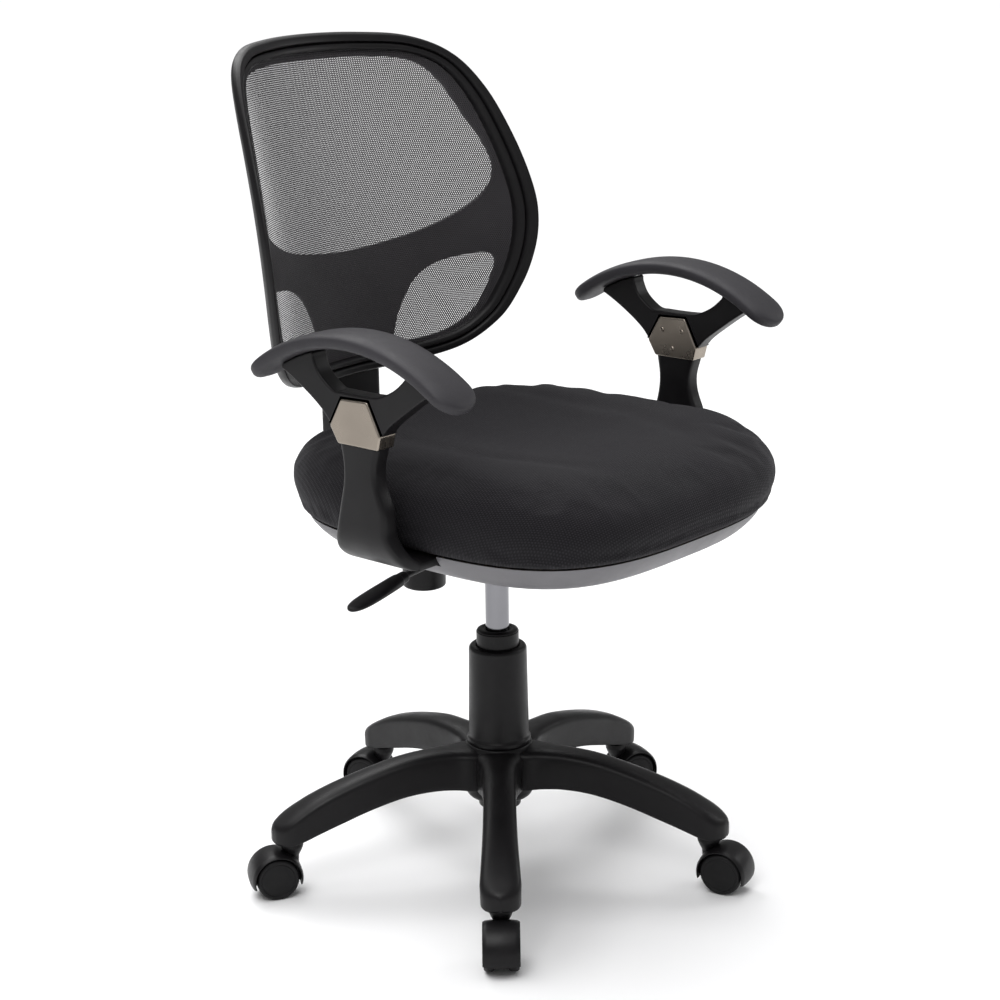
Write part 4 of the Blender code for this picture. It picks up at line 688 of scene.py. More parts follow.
SLACK = 0.0035
loose = in_scene("loose_cover", mesh_of("loose_cover", [cushion_shell(SLACK)]))
even = loose.modifiers.new("even cloth", "REMESH")
even.mode = "VOXEL"
even.voxel_size = 0.0060
depsgraph = bpy.context.evaluated_depsgraph_get()
cloth_mesh = bpy.data.meshes.new_from_object(loose.evaluated_get(depsgraph))
bpy.data.objects.remove(loose)
cover_ob = in_scene("cover_on_foam", cloth_mesh)
count = len(cloth_mesh.vertices)
start = np.empty(count * 3)
cloth_mesh.vertices.foreach_get("co", start)
start = start.reshape(-1, 3)
held = cover_ob.vertex_groups.new(name="stapled under the board")
under = np.nonzero(start[:, 2] < SEAT_BASE_Z + 0.008)[0]
held.add(under.tolist(), 1.0, "REPLACE")
cloth = cover_ob.modifiers.new("cover", "CLOTH")
cloth.settings.quality = 5
cloth.settings.mass = 0.3
cloth.settings.tension_stiffness = 15
cloth.settings.compression_stiffness = 15
cloth.settings.bending_stiffness = 0.5
cloth.settings.use_pressure = True
cloth.settings.uniform_pressure_force = 4.0
cloth.settings.effector_weights.gravity = 0.0
cloth.settings.vertex_group_mass = held.name
cloth.point_cache.frame_end = 20
for number in range(1, 21):
    bpy.context.scene.frame_set(number)
swollen = cover_ob.evaluated_get(bpy.context.evaluated_depsgraph_get()).data
settled = np.empty(count * 3)
swollen.vertices.foreach_get("co", settled)
settled = settled.reshape(-1, 3)
cover_ob.modifiers.remove(cloth)
bpy.context.scene.frame_set(1)
cover_ob.vertex_groups.clear()
MOST_SWELL = 0.0060
step = settled - start
length = np.maximum(np.linalg.norm(step, axis=1, keepdims=True), 1e-9)
settled = start + step * np.minimum(1.0, MOST_SWELL / length)
# Two sewn valleys part the middle of the seat from its side bolsters, and the middle dips.
x, y, z = settled.T
on_top = np.clip((z - (SEAT_TOP_Z - 0.030)) / 0.012, 0, 1)
valley_x = 0.128 - 0.35 * np.clip(-y - 0.10, 0, None)
reach = np.clip((y + 0.245) / 0.06, 0, 1) * np.clip((0.120 - y) / 0.06, 0, 1)
groove = np.exp(-((np.abs(x) - valley_x) / 0.016) ** 2)
dish = np.exp(-(x / 0.10) ** 4 - ((y + 0.05) / 0.15) ** 4)
settled[:, 2] = z - on_top * (0.0028 * groove * reach + 0.0030 * dish)
inside = (np.abs(x) / (SEAT_HALF_W - BOARD_INSET + 0.001)) ** SEAT_POWER + (
    np.abs(y - SEAT_Y) / (SEAT_HALF_D - BOARD_INSET + 0.001)) ** SEAT_POWER < 1
low = inside & (settled[:, 2] < BOARD_TOP_Z + 0.004)
settled[low, 2] = np.maximum(settled[low, 2], BOARD_TOP_Z + 0.0008)
settled[:, 2] = np.maximum(settled[:, 2], SEAT_BASE_Z)
cloth_mesh.vertices.foreach_set("co", settled.reshape(-1))
cloth_mesh.shade_smooth()
bpy.data.objects.remove(cover_ob)
cushion = piece("seat_cushion_cover", cloth_mesh, seat_cloth, "seat", ["seat_cushion"])
fine = cushion.modifiers.new("finer cloth", "SUBSURF")
fine.levels = 1
fine.render_levels = 1

# Pressed board, seen only from underneath through the pan's opening.
board_wood, taken, given = effect("rotary ply", (("Color", "color"),),
                                  (("Color", "color"), ("Roughness", "value"),
                                   ("Normal", "vector")))
spot = add(board_wood, "ShaderNodeTexCoord").outputs["Object"]
drawn = add(board_wood, "ShaderNodeVectorMath", {0: spot, 1: (6.0, 70.0, 120.0)},
            operation="MULTIPLY")
veins = add(board_wood, "ShaderNodeTexNoise", {"Vector": drawn.outputs[0], "Scale": 1.0,
                                               "Detail": 6.0, "Distortion": 0.6})
tone = shaded(board_wood, (taken.outputs["Color"], veins.outputs["Fac"]), 0.62, 1.25)
dry = add(board_wood, "ShaderNodeMapRange", {"Value": veins.outputs["Fac"], "To Min": 0.6,
                                             "To Max": 0.85})
relief = add(board_wood, "ShaderNodeBump", {"Height": veins.outputs["Fac"], "Strength": 0.6,
                                            "Distance": 0.0003})
board_wood.links.new(tone, given.inputs["Color"])
board_wood.links.new(dry.outputs[0], given.inputs["Roughness"])
board_wood.links.new(relief.outputs[0], given.inputs["Normal"])
plywood = material("pressed plywood", board_wood, {"Color": (0.36, 0.24, 0.13, 1)})
refined("seat_board", "seat_board_ply", plywood, "seat", 0.0008)

# ------------------------------------------------------------------ seat pan
# A thin grey moulded cover under the seat. It is open round the mechanism and notched where the
# arms and the back bar pass.
PAN_INSET, PAN_BOTTOM_Z, PAN_WALL = 0.0225, 0.4180, 0.003
PAN_LEVELS = np.array([(0.0, 0.0), (0.0030, 0.16), (0.0100, 0.38), (0.0200, 0.60),
                       (0.0340, 0.78), (0.0490, 0.92), (0.0660, 1.0)])
MECH_FRONT_Y, PAN_CLEARANCE = -0.070, 0.026

pan_grey = material("grey pan plastic", moulded, {"Color": (0.135, 0.132, 0.140, 1),
                                                  "Roughness": 0.50, "Grain": 1300.0,
                                                  "Depth": 0.00006})
pan_top = SEAT_BASE_Z - GAP
inset, share = smooth_run(PAN_LEVELS, 3).T
outer_x, outer_y = seat_ring(PAN_INSET + inset)
outer_z = pan_top - (pan_top - PAN_BOTTOM_Z) * share[:, None] + 0 * outer_x
inner_x, inner_y = seat_ring(PAN_INSET + PAN_WALL + inset[::-1])
inner_z = pan_top - (pan_top - PAN_WALL - PAN_BOTTOM_Z) * share[::-1, None] + 0 * inner_x
pan_front = MECH_FRONT_Y - PAN_CLEARANCE
pan_rear = SEAT_Y + SEAT_HALF_D - 0.111
a = np.linspace(0, 2 * np.pi, outer_x.shape[1], endpoint=False)
mouth_x = 0.080 * np.sign(np.cos(a)) * np.abs(np.cos(a)) ** (2 / 7)
mouth_y = (pan_rear + pan_front) / 2 + (pan_rear - pan_front) / 2 * (
    np.sign(np.sin(a)) * np.abs(np.sin(a)) ** (2 / 7))
mouth = [np.stack([mouth_x, mouth_y, np.full(len(a), z)], -1)
         for z in (PAN_BOTTOM_Z, PAN_BOTTOM_Z + PAN_WALL)]
pan_rings = np.concatenate([np.stack([outer_x, outer_y, outer_z], -1), np.stack(mouth),
                            np.stack([inner_x, inner_y, inner_z], -1)])
pan = piece("seat_pan_moulding", [skin(pan_rings, loop=True)], pan_grey, "seat",
            ["seat_pan"])


def box_shell(low, high):
    """Closed box between two corners."""
    (x0, y0, z0), (x1, y1, z1) = low, high
    ring = np.array([(x0, y0), (x1, y0), (x1, y1), (x0, y1)])
    rows = [np.column_stack([ring, np.full(4, z)]) for z in (z0, z1)]
    return skin(np.stack(rows), ends="flat")


def shaped(ob, shells, operation, bevel=0.0):
    """The piece cut, trimmed or joined by closed shells, with the result left in its mesh."""
    tool = in_scene("tool", mesh_of("tool", shells))
    mod = ob.modifiers.new("shaped", "BOOLEAN")
    mod.object, mod.operation, mod.solver = tool, operation, "EXACT"
    if bevel:
        edge = ob.modifiers.new("eased edges", "BEVEL")
        edge.width, edge.segments = bevel, 2
        edge.limit_method, edge.angle_limit = "ANGLE", math.radians(50.0)
    deps = bpy.context.evaluated_depsgraph_get()
    mesh = bpy.data.meshes.new_from_object(ob.evaluated_get(deps))
    ob.modifiers.clear()
    ob.data = mesh
    bpy.data.objects.remove(tool)
    mesh.shade_smooth()
    mesh.set_sharp_from_angle(angle=math.radians(35.0))
    return ob


foot_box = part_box("arm_post_right")
foot_y = (foot_box[0][1] - 0.001, foot_box[1][1] + 0.001)
cuts = [box_shell((side * 0.180 - 0.100, foot_y[0], 0.4461),
                  (side * 0.180 + 0.100, foot_y[1], 0.480)) for side in (-1, 1)]
cuts.append(box_shell((-0.045, pan_rear - 0.020, 0.400), (0.045, 0.200, 0.480)))
shaped(pan, cuts, "DIFFERENCE")
even_faces(pan)

# ------------------------------------------------------------------ back
# A curved nylon frame: an outer rim with a rear flange, a lumbar band and a stalk. A second
# ring stretches the mesh inside it, so the rim shows two bands with a groove between them.
BACK_Y, BACK_Z, BACK_CURVE, BACK_WRAP_R = 0.208, 0.640, 0.617, 0.309
RIM_DEPTH, RIM_BAND, RIM_GROOVE = 0.018, 0.011, 0.0015
CARRIER_BAND, CARRIER_DEPTH = 0.008, 0.0115
MESH_T, WEB_T, WEB_CLEARANCE = 0.001, 0.0045, 0.0014
BACK_HALF = np.array([
    (0.0, 0.969), (0.075, 0.9670), (0.133, 0.9605), (0.174, 0.940), (0.1985, 0.900),
    (0.2150, 0.840), (0.2250, 0.780), (0.2262, 0.740), (0.2205, 0.700), (0.2070, 0.657),
    (0.184, 0.6155), (0.142, 0.585), (0.075, 0.5735), (0.0, 0.572)])


def back_y(x, z):
    """Front of the back: y0 + c (z - z0)^2 lengthwise, less R - sqrt(R^2 - x^2) across."""
    return BACK_Y + BACK_CURVE * (z - BACK_Z) ** 2 - (
        BACK_WRAP_R - np.sqrt(BACK_WRAP_R ** 2 - x ** 2))


def mirrored(half):
    """Closed outline of (x, z) points from its right half, clockwise from the top."""
    half = np.asarray(half, float)
    left = half[-2:0:-1] * (-1, 1)
    return np.vstack([half, left])


def inward(outline, distance):
    """Outline moved towards its inside by a distance along its normals."""
    run = np.roll(outline, -1, 0) - np.roll(outline, 1, 0)
    run /= np.linalg.norm(run, axis=1, keepdims=True)
    return outline + np.stack([run[:, 1], -run[:, 0]], -1) * distance


def swept_rim(outline, section):
    """A section of (inward, depth) offsets carried round an outline laid on the back."""
    points = []
    for into, depth in section:
        x, z = inward(outline, into).T
        points.append(np.stack([x, back_y(x, z) + depth, z], -1))
    return skin(np.stack(points, axis=1), loop=True)


rim_line = smooth_run(mirrored(BACK_HALF), 8, closed=True)
flange = CARRIER_DEPTH + 0.0013
behind = RIM_BAND + RIM_GROOVE + CARRIER_BAND + 0.003
rim_section = softened([(0.0, 0.0060), (0.0022, 0.0004), (0.0060, 0.0), (RIM_BAND - 0.0016, 0.0),
                        (RIM_BAND, 0.0024), (RIM_BAND, flange), (behind, flange),
                        (behind, RIM_DEPTH), (0.0040, RIM_DEPTH), (0.0, RIM_DEPTH - 0.0045)],
                       0.0022, 4, closed=True)
piece("back_rim", [swept_rim(rim_line, rim_section)], nylon, "seat", ["back_frame"],
      sharp_deg=50.0)
low = RIM_BAND + RIM_GROOVE
high = low + CARRIER_BAND
ring_section = softened([(low, 0.0030), (low + 0.0018, 0.0010), (high - 0.0022, 0.0012),
                         (high, 0.0040), (high, CARRIER_DEPTH), (low, CARRIER_DEPTH)],
                        0.0014, 4, closed=True)
piece("mesh_stretching_ring", [swept_rim(rim_line, ring_section)], nylon, "seat",
      ["mesh_carrier"], sharp_deg=50.0)

# The web behind the mesh: lumbar band and stalk, left between one window above the band and
# two below it. It is moulded with the rim, and its edges are eased.
web_front = CARRIER_DEPTH + WEB_CLEARANCE
UPPER_WINDOW = [(0.0, 0.9395), (0.060, 0.9390), (0.110, 0.936), (0.1415, 0.927), (0.161, 0.905),
                (0.178, 0.864), (0.192, 0.829), (0.1965, 0.800), (0.186, 0.7745),
                (0.1554, 0.7507), (0.109, 0.732), (0.050, 0.7215), (0.0, 0.7185)]
LOWER_WINDOW = [(0.066, 0.603), (0.0665, 0.626), (0.0775, 0.652), (0.096, 0.6765),
                (0.123, 0.6915), (0.160, 0.6985), (0.182, 0.6985), (0.189, 0.688),
                (0.1845, 0.670), (0.175, 0.645), (0.159, 0.622), (0.1345, 0.6055),
                (0.100, 0.5995)]


def through(outline):
    """Outline of (x, z) points run through the back from front to rear."""
    rows = [np.stack([outline[:, 0], np.full(len(outline), y), outline[:, 1]], -1)
            for y in (0.0, 0.40)]
    return skin(np.stack(rows), ends="flat")


def back_slab(depth, thick, across=80, along=72):
    """Curved slab of even depth behind the back's front surface, to be trimmed."""
    x = np.linspace(-0.236, 0.236, across)[None, :]
    z = np.linspace(0.555, 0.985, along)[:, None]
    y = back_y(x, z) + depth
    x, z = np.broadcast_to(x, y.shape), np.broadcast_to(z, y.shape)
    near, far = np.stack([x, y, z], -1), np.stack([x, y + thick, z], -1)
    return skin(np.concatenate([near, far[:, ::-1]], axis=1))


web = piece("lumbar_web", [back_slab(web_front, WEB_T)], nylon, "seat")
shaped(web, [through(inward(rim_line, RIM_BAND + 0.0090))], "INTERSECT")
windows = [mirrored(UPPER_WINDOW), np.array(LOWER_WINDOW), np.array(LOWER_WINDOW) * (-1, 1)]
shaped(web, [through(smooth_run(w, 6, closed=True)) for w in windows], "DIFFERENCE",
       bevel=0.0011)
even_faces(web)
bar_face = BACK_Y + RIM_DEPTH + 0.0045
seat_block = np.array([(-0.030, 0.606), (0.030, 0.606), (0.030, 0.650), (-0.030, 0.650)])
block_run = softened(seat_block, 0.004, 4, closed=True)
block_rows = [np.stack([block_run[:, 0], np.full(len(block_run), y), block_run[:, 1]], -1)
              for y in (BACK_Y + web_front + 0.0024, bar_face - GAP)]
even_faces(piece("stalk_mounting_block", [skin(np.stack(block_rows), ends="flat")], nylon,
                 "seat"))

# Woven mesh stretched in the ring: a warp-knitted net with small round holes that shows the
# band and stalk behind it as a darker shape.
net = bpy.data.materials.new("grey back net")
net.use_nodes = True
tree = net.node_tree
shader = tree.nodes["Principled BSDF"]
shader.inputs["Roughness"].default_value = 0.80
shader.inputs["Specular IOR Level"].default_value = 0.25
shader.inputs["Sheen Weight"].default_value = 0.08
cut = add(tree, "ShaderNodeUVMap", uv_map="cut of the cloth").outputs["UV"]
spot = add(tree, "ShaderNodeTexCoord").outputs["Object"]
cells = add(tree, "ShaderNodeGroup", {"Vector": cut, "Pitch": 0.0026}, node_tree=knit)
hole = add(tree, "ShaderNodeMapRange", {"Value": cells.outputs["Cells"], "From Min": 0.23,
                                        "From Max": 0.35, "To Min": 1.0, "To Max": 0.0})
threads = add(tree, "ShaderNodeTexNoise", {"Vector": cut, "Scale": 2600.0, "Detail": 2.0})
slub = add(tree, "ShaderNodeTexNoise", {"Vector": spot, "Scale": 11.0, "Detail": 3.0})
face = add(tree, "ShaderNodeMix", {0: threads.outputs["Fac"], 6: (0.024, 0.022, 0.025, 1),
                                   7: (0.066, 0.062, 0.067, 1)}, data_type="RGBA")
tone = shaded(tree, (face.outputs[2], slub.outputs["Fac"]), 0.88, 1.12)
relief = add(tree, "ShaderNodeBump", {"Height": hole.outputs[0], "Strength": 0.7,
                                      "Distance": 0.0003})
tree.links.new(tone, shader.inputs["Base Color"])
tree.links.new(hole.outputs[0], shader.inputs["Alpha"])
tree.links.new(relief.outputs[0], shader.inputs["Normal"])
net.diffuse_color = (0.10, 0.095, 0.10, 0.7)

NET_RINGS = 30
edge_line = inward(rim_line, RIM_BAND + RIM_GROOVE + CARRIER_BAND + GAP)
middle = np.array([0.0, 0.775])
spread = np.linspace(0.012, 1.0, NET_RINGS)[:, None, None]
flat_net = middle + (edge_line - middle)[None] * spread
net_x, net_z = flat_net[..., 0], flat_net[..., 1]
net_depth = CARRIER_DEPTH - 0.0015 - MESH_T
near = np.stack([net_x, back_y(net_x, net_z) + net_depth, net_z], -1)
far = near + (0, MESH_T, 0)
net_shell = skin(np.concatenate([near, far[::-1]]))
back_net = piece("back_net_cloth", [net_shell], net, "seat", ["back_mesh"])
loops = np.empty(len(back_net.data.loops), int)
back_net.data.loops.foreach_get("vertex_index", loops)
co = np.empty(len(back_net.data.vertices) * 3)
back_net.data.vertices.foreach_get("co", co)
co = co.reshape(-1, 3)
cut_u = BACK_WRAP_R * np.arcsin(co[:, 0] / BACK_WRAP_R)
uv = np.stack([cut_u[loops], co[loops, 2]], -1)
back_net.data.uv_layers.new(name="cut of the cloth").data.foreach_set("uv", uv.reshape(-1))

# ------------------------------------------------------------------ back bar
# A flat steel bar bent in a J from under the seat plate to the back's stalk, under a plastic
# sleeve, with two cap screws through it into the stalk.
BAR_W, BAR_T, BAR_BEND_R = 0.060, 0.006, 0.030
bar_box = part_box("back_bar")
bar_low, bar_top_z, bar_start = bar_box[0][2], bar_box[1][2], bar_box[0][1]
under_path = np.array([(bar_start, bar_low + BAR_T / 2),
                       (bar_face - BAR_BEND_R, bar_low + BAR_T / 2)])
bend_a = np.linspace(-np.pi / 2, 0, 15)
bend_path = np.stack([bar_face - BAR_BEND_R + (BAR_BEND_R + BAR_T / 2) * np.cos(bend_a),
                      bar_low + BAR_T + BAR_BEND_R
                      + (BAR_BEND_R + BAR_T / 2) * np.sin(bend_a)], -1)
rise_path = np.array([(bar_face + BAR_T / 2, bar_top_z)])
bar_line = np.vstack([under_path[:1], bend_path, rise_path])
bar_path = np.column_stack([np.zeros(len(bar_line)), bar_line])
run = np.gradient(bar_path, axis=0)
run[0], run[-1] = (0, 1, 0), (0, 0, 1)
run /= np.linalg.norm(run, axis=1, keepdims=True)
across_bar = np.cross(run, (1, 0, 0))
section = softened([(-BAR_W / 2, -BAR_T / 2), (BAR_W / 2, -BAR_T / 2), (BAR_W / 2, BAR_T / 2),
                    (-BAR_W / 2, BAR_T / 2)], 0.0014, 4, closed=True)
bar_rows = bar_path[:, None] + section[None, :, :1] * np.array([1.0, 0, 0]) \
    + section[None, :, 1:] * across_bar[:, None]
even_faces(piece("back_steel_bar", [skin(bar_rows, ends="flat")], black_paint,
                 "seat", ["back_bar"]))
sleeve_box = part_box("spine_cover")
(sx0, sy0, sz0), (sx1, sy1, sz1) = sleeve_box
wrap = softened([(sx0, sy0), (sx1, sy0), (sx1, sy1), (sx0, sy1)], 0.007, 8, closed=True)
middle = wrap.mean(0)
in_x, in_y0, in_y1 = BAR_W / 2 + 0.0004, bar_face - 0.0004, bar_face + BAR_T + 0.0004
sleeve = []
for z, share in ((sz0, 0.985), (sz0 + 0.0012, 0.997), (sz0 + 0.004, 1.0), (sz1 - 0.004, 1.0),
                 (sz1 - 0.0012, 0.997), (sz1, 0.985)):
    sleeve.append(np.column_stack([middle + (wrap - middle) * share, np.full(len(wrap), z)]))
cover_ob = piece("spine_sleeve", [skin(np.stack(sleeve), ends="flat")], nylon, "seat",
                 ["spine_cover"])
shaped(cover_ob, [box_shell((-in_x, in_y0, sz0 - 0.01), (in_x, in_y1, sz1 + 0.01))],
       "DIFFERENCE")
even_faces(cover_ob)


def cap_screw(radius, height):
    """Button-head screw on z = 0: domed head with a round drive recess, open upwards."""
    run = [(0.0004, height * 0.45), (radius * 0.42, height * 0.45), (radius * 0.45, height),
           (radius * 0.80, height * 0.82), (radius, height * 0.25), (radius, 0.0),
           (0.0004, 0.0)]
    return turned(softened(run, radius * 0.08, 2), 20)


screw_black = material("blacked screw steel", worked, {
    "Color": (0.06, 0.06, 0.062, 1), "Roughness": 0.38, "Spread": 0.06,
    "Lines": (300, 300, 300), "Depth": 0.00002}, metallic=1.0)
rearward = Matrix.Rotation(-math.pi / 2, 4, "X")
back_screws = [moved(cap_screw(0.0062, 0.0038),
                     Matrix.Translation((0, bar_face + BAR_T + 0.0002, z)) @ rearward)
               for z in (0.617, 0.639)]
piece("back_cap_screws", back_screws, screw_black, "seat")
downward = Matrix.Rotation(math.pi, 4, "X")
plate_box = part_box("seat_plate")
plate_under = plate_box[1][2] - 0.004 - 0.0002
plate_screws = [moved(cap_screw(0.0065, 0.0042), Matrix.Translation((x, y, plate_under))
                      @ downward)
                for x in (-0.062, 0.062) for y in (plate_box[0][1] + 0.012,
                                                   plate_box[1][1] - 0.012)]
piece("seat_plate_screws", plate_screws, screw_black, "seat")

# ------------------------------------------------------------------ arms
# Each arm is a nylon post that curves in under the seat, a silvered cap at its middle, a
# two-branched yoke above it and a soft self-skinned pad that closes the loop.
ARM_X, ARM_T, ARM_FOOT_T = 0.272, 0.021, 0.012
ARM_FOOT_HALF, CAP_T = 0.049, 0.025
PAD_W, PAD_T, PAD_SAG = 0.056, 0.018, 0.0472
PAD_REAR, PAD_FRONT = np.array((0.081, 0.6440)), np.array((-0.192, 0.6445))

pad_skin = material("grey pad skin", moulded, {"Color": (0.026, 0.0245, 0.0285, 1),
                                               "Roughness": 0.56, "Grain": 850.0,
                                               "Depth": 0.00016},
                    Specular_IOR_Level=0.30)
silver = material("champagne silver", worked, {"Color": (0.285, 0.250, 0.212, 1),
                                               "Roughness": 0.30, "Spread": 0.05,
                                               "Lines": (900, 45, 45), "Depth": 0.00001},
                  metallic=1.0)

pad_chord = np.linalg.norm(PAD_REAR - PAD_FRONT)
pad_radius = (pad_chord ** 2 / 4 + PAD_SAG ** 2) / (2 * PAD_SAG)
pad_y, pad_z = (PAD_REAR + PAD_FRONT) / 2 + (0, PAD_SAG - pad_radius)


def pad_under(y):
    """Underside of the pad's arc above a place along the arm."""
    return pad_z + np.sqrt((pad_radius - PAD_T / 2) ** 2 - (y - pad_y) ** 2)


def rounded_plate(outline, thick, edge, x, steps=5):
    """Plate over a clockwise (y, z) outline, its rim rolled by quarter ellipses: at angle a the
    outline moves in by e (1 - cos a) while the face lies e (1 - sin a) inside the thickness."""
    a = np.linspace(0, np.pi / 2, steps)
    into = edge * (1 - np.cos(a))
    off = thick / 2 - edge + edge * np.sin(a)
    rows = [np.column_stack([np.full(len(outline), -o), inward(outline, i)])
            for o, i in zip(off[::-1], into[::-1])]
    rows += [np.column_stack([np.full(len(outline), o), inward(outline, i)])
             for o, i in zip(off, into)]
    points = np.stack(rows)
    points[..., 0] += x
    return skin(points, ends="flat")


def clockwise(outline):
    """The outline turned, if it runs the other way, so that inward() goes into it."""
    y, z = outline.T
    area = np.sum(y * np.roll(z, -1) - np.roll(y, -1) * z)
    return outline if area < 0 else outline[::-1]


def arm_post_rows(side):
    """Sections from the foot round the bend and up the post: rounded oblongs whose front and
    rear edges follow smooth curves, thickening from the foot to the post."""
    low = SEAT_BASE_Z - GAP - ARM_FOOT_T
    bend_r, outer = 0.046, ARM_X + ARM_T / 2
    half = ARM_FOOT_HALF
    stations = [(0.100, low, 0, -half, half), (0.160, low, 0, -half, half),
                (outer - bend_r, low, 0, -half, half)]
    for deg, share in ((12.5, 0.993), (25, 0.98), (37.5, 0.96), (50, 0.93), (62.5, 0.87),
                       (75, 0.80), (90, 0.72)):
        t = math.radians(deg)
        stations.append((outer - bend_r + bend_r * math.sin(t),
                         low + bend_r * (1 - math.cos(t)), t, -half * share, half * share))
    for z, front, rear in ((0.515, -0.034, 0.030), (0.540, -0.024, 0.024),
                           (0.560, -0.022, 0.023), (0.5817, -0.028, 0.0265)):
        stations.append((outer, z, math.pi / 2, front, rear))
    x, z, t, front, rear = smooth_run(stations, 4).T
    t = np.clip(t, 0, math.pi / 2)
    thick = ARM_FOOT_T + (ARM_T - ARM_FOOT_T) * t / (math.pi / 2)
    corner = softened([(0, 0), (0, 1), (1, 1), (1, 0)], 0.24, 5, closed=True)
    u, v = corner.T
    wide = rear - front
    soft_v = np.where(v < 0.5, v * 0.5, 1 - (1 - v) * 0.5)
    v_rows = np.where((v > 0.24) & (v < 0.76), v, soft_v)[None, :]
    y = SEAT_Y + front[:, None] + wide[:, None] * v_rows
    px = x[:, None] - np.sin(t)[:, None] * thick[:, None] * u[None, :]
    pz = z[:, None] + np.cos(t)[:, None] * thick[:, None] * u[None, :]
    return np.stack([side * px, y, pz], -1)


cap_outline = clockwise(softened([(-0.0330, 0.5820), (-0.0220, 0.6000), (-0.0390, 0.6300),
                                  (-0.0765, 0.6315), (-0.0940, 0.5970), (-0.0900, 0.5820)],
                                 0.0020, 3, closed=True))
rear_out = smooth_run([(0.0490, 0.6505), (0.0290, 0.6400), (0.0058, 0.6255),
                       (-0.0110, 0.6125), (-0.0216, 0.6006)], 6)
loop_low = smooth_run([(-0.1295, 0.6655), (-0.1265, 0.6600), (-0.1120, 0.6480),
                       (-0.0920, 0.6385), (-0.0780, 0.6368), (-0.0570, 0.6364),
                       (-0.0400, 0.6366), (-0.0260, 0.6378), (-0.0080, 0.6510),
                       (0.0000, 0.6650), (0.0010, 0.6720)], 5)
front_out = smooth_run([(-0.0947, 0.5976), (-0.1060, 0.6095), (-0.1280, 0.6260),
                        (-0.1486, 0.6405), (-0.1640, 0.6500)], 6)
under_rear = np.linspace(0.003, 0.048, 9)
under_front = np.linspace(-0.163, -0.131, 9)
yoke_outline = np.vstack([
    rear_out, [(-0.0384, 0.6304)], [(-0.0771, 0.6319)], front_out,
    np.column_stack([under_front, pad_under(under_front) - GAP]), loop_low,
    np.column_stack([under_rear, pad_under(under_rear) - GAP])])
yoke_outline = clockwise(yoke_outline)
inner_face_screws = ((-0.0590, 0.5930), (-0.0440, 0.6150), (-0.0730, 0.6150))
for side, word in ((-1, "right"), (1, "left")):
    piece(f"{word}_arm_post", [skin(arm_post_rows(side))], nylon, "seat",
          [f"arm_post_{word}"], sharp_deg=60.0)
    even_faces(piece(f"{word}_arm_cap", [rounded_plate(cap_outline, CAP_T, 0.0022,
                                                       side * ARM_X)],
                     silver, "seat", [f"arm_junction_{word}"]))
    even_faces(piece(f"{word}_arm_yoke", [rounded_plate(yoke_outline, ARM_T, 0.0022,
                                                        side * ARM_X)],
                     nylon, "seat", [f"arm_yoke_{word}"]))
    inner = Matrix.Rotation(-side * math.pi / 2, 4, "Y")
    screws = [moved(cap_screw(0.0030, 0.0011), Matrix.Translation(
        (side * (ARM_X - CAP_T / 2 - 0.0001), y, z)) @ inner) for y, z in inner_face_screws]
    piece(f"{word}_arm_cap_screws", screws, silver, "seat")
    foot_under = SEAT_BASE_Z - GAP - ARM_FOOT_T - 0.0002
    bolts = [moved(cap_screw(0.0075, 0.0046), Matrix.Translation(
        (side * 0.128, SEAT_Y + y, foot_under)) @ downward) for y in (-0.028, 0.028)]
    piece(f"{word}_arm_bolts", bolts, screw_black, "seat")

# Pads: an arc in side view, an oblong with full corners in section, tongue-shaped at the ends.
half_angle = math.asin(pad_chord / 2 / pad_radius)
tip = 0.011 / pad_radius
s = np.sin(np.linspace(-np.pi / 2, np.pi / 2, 89))
angle = s * (half_angle + tip)
past = np.clip((np.abs(angle) - (half_angle - 1.6 * tip)) / (2.6 * tip), 0, 1)
pad_share = np.sqrt(np.clip(1 - past ** 2.2, 0.0009, 1))
b = np.linspace(0, 2 * np.pi, 40, endpoint=False)[None, :]
wide = np.sign(np.cos(b)) * np.abs(np.cos(b)) ** 0.62 * (PAD_W / 2) * pad_share[:, None]
tall = np.sign(np.sin(b)) * np.abs(np.sin(b)) ** 0.62 * (PAD_T / 2) * (pad_share ** 0.55)[:, None]
out_r = pad_radius + tall
for side, word in ((-1, "right"), (1, "left")):
    rows = np.stack([side * ARM_X + wide, pad_y + np.sin(angle)[:, None] * out_r,
                     pad_z + np.cos(angle)[:, None] * out_r], -1)
    pad = piece(f"{word}_arm_soft_pad", [skin(rows)], pad_skin, "seat",
                [f"arm_pad_{word}"], sharp_deg=60.0)

# ------------------------------------------------------------------ studio
# A plain pale floor and surround. The main soft light stands over the sitter's right and
# front, with weaker ones on the left and behind, and an even light falls from overhead.
floor_mat = bpy.data.materials.new("pale floor")
floor_mat.use_nodes = True
shader = floor_mat.node_tree.nodes["Principled BSDF"]
shader.inputs["Base Color"].default_value = (0.92, 0.92, 0.925, 1)
shader.inputs["Roughness"].default_value = 1.0
shader.inputs["Specular IOR Level"].default_value = 0.0
floor_mesh = bpy.data.meshes.new("floor")
floor_mesh.from_pydata([(-40, -40, 0), (40, -40, 0), (40, 40, 0), (-40, 40, 0)], [],
                       [(0, 1, 2, 3)])
floor_mesh.materials.append(floor_mat)
floor = in_scene("floor", floor_mesh)

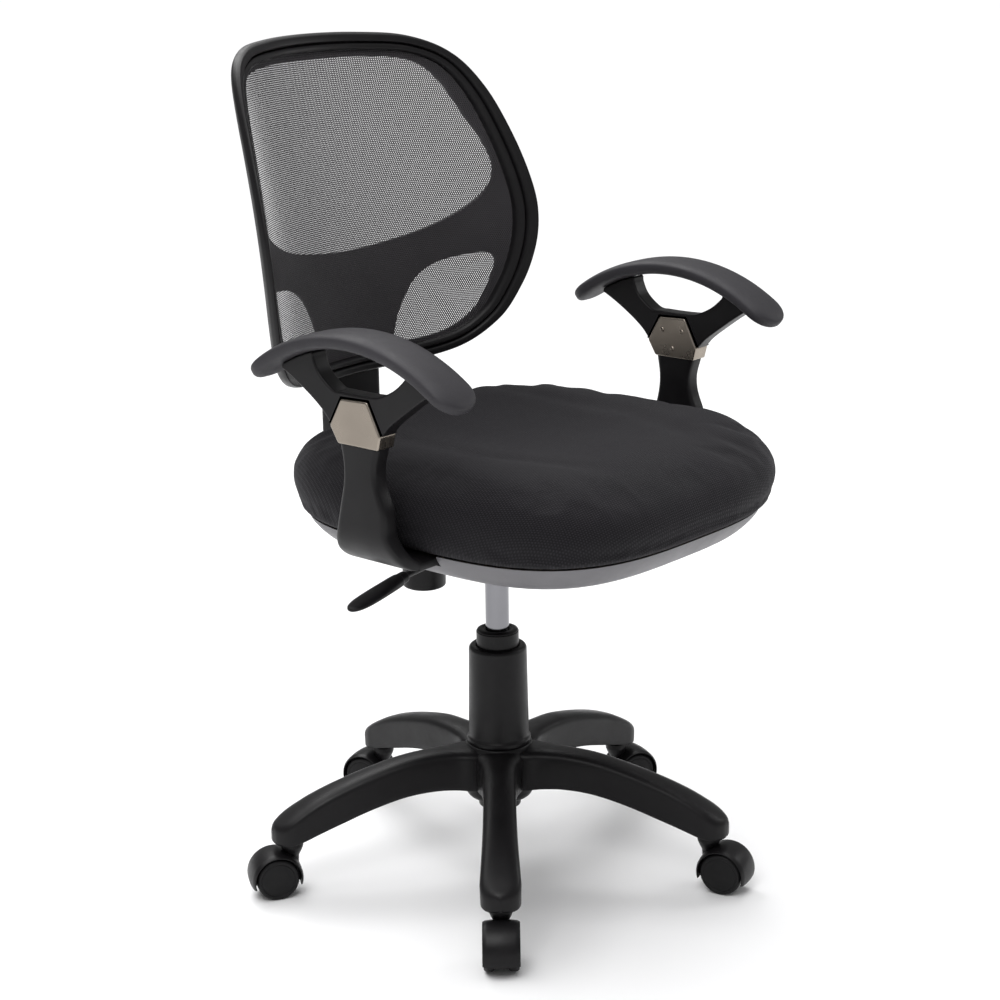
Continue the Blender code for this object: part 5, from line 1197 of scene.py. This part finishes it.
world = bpy.data.worlds.new("pale surround")
world.use_nodes = True
tree = world.node_tree
sky = tree.nodes["Background"]
sky.inputs["Color"].default_value = (1.0, 1.0, 1.0, 1)
seen = add(tree, "ShaderNodeLightPath").outputs["Is Camera Ray"]
strength = add(tree, "ShaderNodeMapRange", {"Value": seen, "To Min": 0.30, "To Max": 1.0})
tree.links.new(strength.outputs[0], sky.inputs["Strength"])
bpy.context.scene.world = world
bpy.context.scene.view_settings.view_transform = "Standard"


def soft_light(name, spot, aim, size, power):
    """A square area light at one place, turned to face another."""
    data = bpy.data.lights.new(name, "AREA")
    data.shape = "SQUARE"
    data.size = size
    data.energy = power
    ob = in_scene(name, data)
    ob.matrix_world = Matrix.Translation(spot) @ (
        Vector(aim) - Vector(spot)).to_track_quat("-Z", "Y").to_matrix().to_4x4()


soft_light("key over the front right", (-1.9, -0.9, 2.7), (0, 0, 0.5), 1.5, 38.0)
soft_light("strip on the left", (2.4, -1.4, 1.7), (0, 0, 0.5), 0.9, 12.0)
soft_light("top light behind", (0.9, 1.9, 2.6), (0, 0, 0.7), 1.4, 22.0)
sun_data = bpy.data.lights.new("even overhead light", "SUN")
sun_data.energy = 2.65
sun_data.angle = 1.2
sun = in_scene("even overhead light", sun_data)
sun.matrix_world = Matrix.Rotation(math.radians(-14), 4, "X")

# Camera at the chair's front right, a little above the arms, looking slightly down.
CAMERA_AT = Vector((-1.82588, -1.59725, 1.14292))
AZIMUTH, ELEVATION, ROLL = -0.8542, 0.2777, -0.0142
back = Vector((math.sin(AZIMUTH) * math.cos(ELEVATION), -math.cos(AZIMUTH) * math.cos(ELEVATION),
               math.sin(ELEVATION)))
level = Vector((math.cos(AZIMUTH), math.sin(AZIMUTH), 0))
upright = back.cross(level)
right = level * math.cos(ROLL) + upright * math.sin(ROLL)
up = -level * math.sin(ROLL) + upright * math.cos(ROLL)
camera_data = bpy.data.cameras.new("camera")
camera_data.lens = 78.76
camera_data.sensor_width = 36.0
camera = in_scene("camera", camera_data)
camera.matrix_world = Matrix((
    (right.x, up.x, back.x, CAMERA_AT.x), (right.y, up.y, back.y, CAMERA_AT.y),
    (right.z, up.z, back.z, CAMERA_AT.z), (0, 0, 0, 1)))
bpy.context.scene.camera = camera
